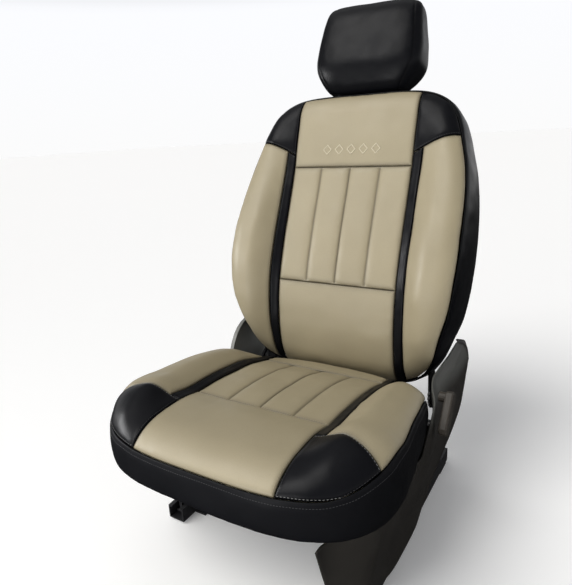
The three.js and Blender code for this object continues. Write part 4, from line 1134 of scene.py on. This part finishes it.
def metalwork():
    post_x, post_low, post_high, post_depth = 68, 470, 700, 60
    posts = [(x, w, post_depth) for x, w in ((-post_x, post_low), (-post_x, post_high), (post_x, post_high),
                                             (post_x, post_low))]
    bow = [back_axes(np.array(p, float)) for p in posts]
    tube("headrest_bow", bow, 6, 22, bright, "headrest", ["headrest_posts"])
    bar_x, leg = 163, ((-220, 78), (-280, 84), (-376, 138))
    bar = [(-bar_x, y, z) for y, z in leg] + [(bar_x, y, z) for y, z in leg[::-1]]
    tube("release_bar", bar, 5, 24, steel, "slide_release", ["slide_release_bar"])
    pressed = [f"{node}_{side}" for node in ("lower_rail", "upper_rail", "side_frame", "recliner_plate",
                                             "recliner_drum") for side in ("left", "right")]
    pressed += ["front_cross_tube", "rear_cross_tube", "cushion_pan", "back_frame", "buckle_anchor"]
    for material, bevel, nodes in (
            (steel, 0.6, pressed),
            (steel, 0.5, ["buckle_stalk"]),
            (bright, 0, ["back_spring_wire"]),
            (black_plastic, 0.5, ["headrest_guide_left", "headrest_guide_right", "headrest_lock_button"]),
            (webbing, 0.3, ["cover_strap_front", "cover_strap_rear"]),
            (dark_plastic, 0.8, ["recline_lever"]),
            (grey_plastic, 0, ["inner_shield"]),
            (black_plastic, 1.4, ["buckle_housing"]),
            (red_plastic, 1.0, ["buckle_button"])):
        for node in nodes:
            finish_node(node, material, bevel)


# ---------- floor and light ----------
def floor(size=40.0):
    mesh = bpy.data.meshes.new("floor")
    corners = [(-size, -size, 0), (size, -size, 0), (size, size, 0), (-size, size, 0)]
    mesh.from_pydata(corners, [], [(0, 1, 2, 3)])
    ground = add_object("floor", mesh)
    ground.location.z = -0.001
    ground.visible_glossy = False  # the dark room below the studio's floor keeps the black vinyl deep
    material = bpy.data.materials.new("pale_floor")
    material.use_nodes = True
    paint = material.node_tree.nodes["Principled BSDF"].inputs
    paint["Base Color"].default_value = (0.95, 0.95, 0.95, 1)
    paint["Emission Color"].default_value = (1.0, 1.0, 1.0, 1)
    paint["Emission Strength"].default_value = 0.12
    paint["Roughness"].default_value = 0.9
    paint["Specular IOR Level"].default_value = 0.0
    mesh.materials.append(material)


def surroundings():
    """A pale band at eye level that fades to grey overhead and to a dark room below."""
    world = bpy.data.worlds.new("studio")
    bpy.context.scene.world = world
    world.use_nodes = True
    tree = world.node_tree
    split = tree.nodes.new("ShaderNodeSeparateXYZ")
    tree.links.new(tree.nodes.new("ShaderNodeTexCoord").outputs["Generated"], split.inputs[0])
    shade = tree.nodes.new("ShaderNodeValToRGB")
    spread = tree.nodes.new("ShaderNodeMapRange")
    spread.inputs["From Min"].default_value = -1
    tree.links.new(split.outputs["Z"], spread.inputs["Value"])
    tree.links.new(spread.outputs["Result"], shade.inputs["Fac"])
    stops = shade.color_ramp.elements
    stops[0].position, stops[0].color = 0.46, (0.03, 0.03, 0.03, 1)
    stops[1].position, stops[1].color = 0.49, (0.97, 0.97, 0.97, 1)
    for position, grey in ((0.60, 0.97), (0.66, 0.24), (1.0, 0.22)):
        stops.new(position).color = (grey, grey * 1.01, grey * 1.04, 1)
    tree.links.new(shade.outputs["Color"], tree.nodes["Background"].inputs["Color"])


def light(name, kind, towards, **settings):
    """A lamp that shines from a direction."""
    data = bpy.data.lights.new(name, kind)
    for key, value in settings.items():
        setattr(data, key, value)
    lamp = add_object(name, data)
    lamp.rotation_mode = "QUATERNION"
    lamp.rotation_quaternion = towards.to_track_quat("Z", "Y")
    return lamp


def lights():
    for name, azimuth, elevation, strength, spread, colour in (
            ("key", -34, 52, 1.95, 40, (1.0, 0.985, 0.955)),
            ("top", -100, 72, 0.35, 60, (1.0, 1.0, 1.0))):
        a, e = math.radians(azimuth), math.radians(elevation)
        towards = Vector((math.sin(a) * math.cos(e), -math.cos(a) * math.cos(e), math.sin(e)))
        light(name, "SUN", towards, energy=strength, angle=math.radians(spread), color=colour)

    # a low panel at the front left, and two that only show in the gloss of the vinyl
    for name, place, target, size, watts, sheen_only in (
            ("low_panel", (-0.35, -1.75, 0.36), (-0.35, 0.0, 0.36), 0.7, 11.0, False),
            ("corner_sheen", (-1.65, -0.85, 0.86), (-0.17, -0.34, 0.27), 0.4, 22.0, True),
            ("head_sheen", (-0.95, -1.35, 2.35), (0.0, 0.3, 0.88), 0.7, 6.0, True)):
        lamp = light(name, "AREA", Vector(place) - Vector(target), energy=watts, size=size)
        lamp.location = place
        lamp.visible_diffuse = not sheen_only


# ---------- build ----------
cushion_covers()
cushion_skirt()
yoke_panel = back_covers()
back_band()
back_rear_cover()
yoke_motif(yoke_panel)
headrest_cover()
foam_piece("foam_cushion", "cushion_foam", "seat_base")
foam_piece("foam_back", "back_foam", "backrest")
foam_piece("foam_headrest", "headrest_foam", "headrest")
side_shield()
metalwork()
floor()
surroundings()
lights()
bpy.context.scene.view_settings.view_transform = "Standard"
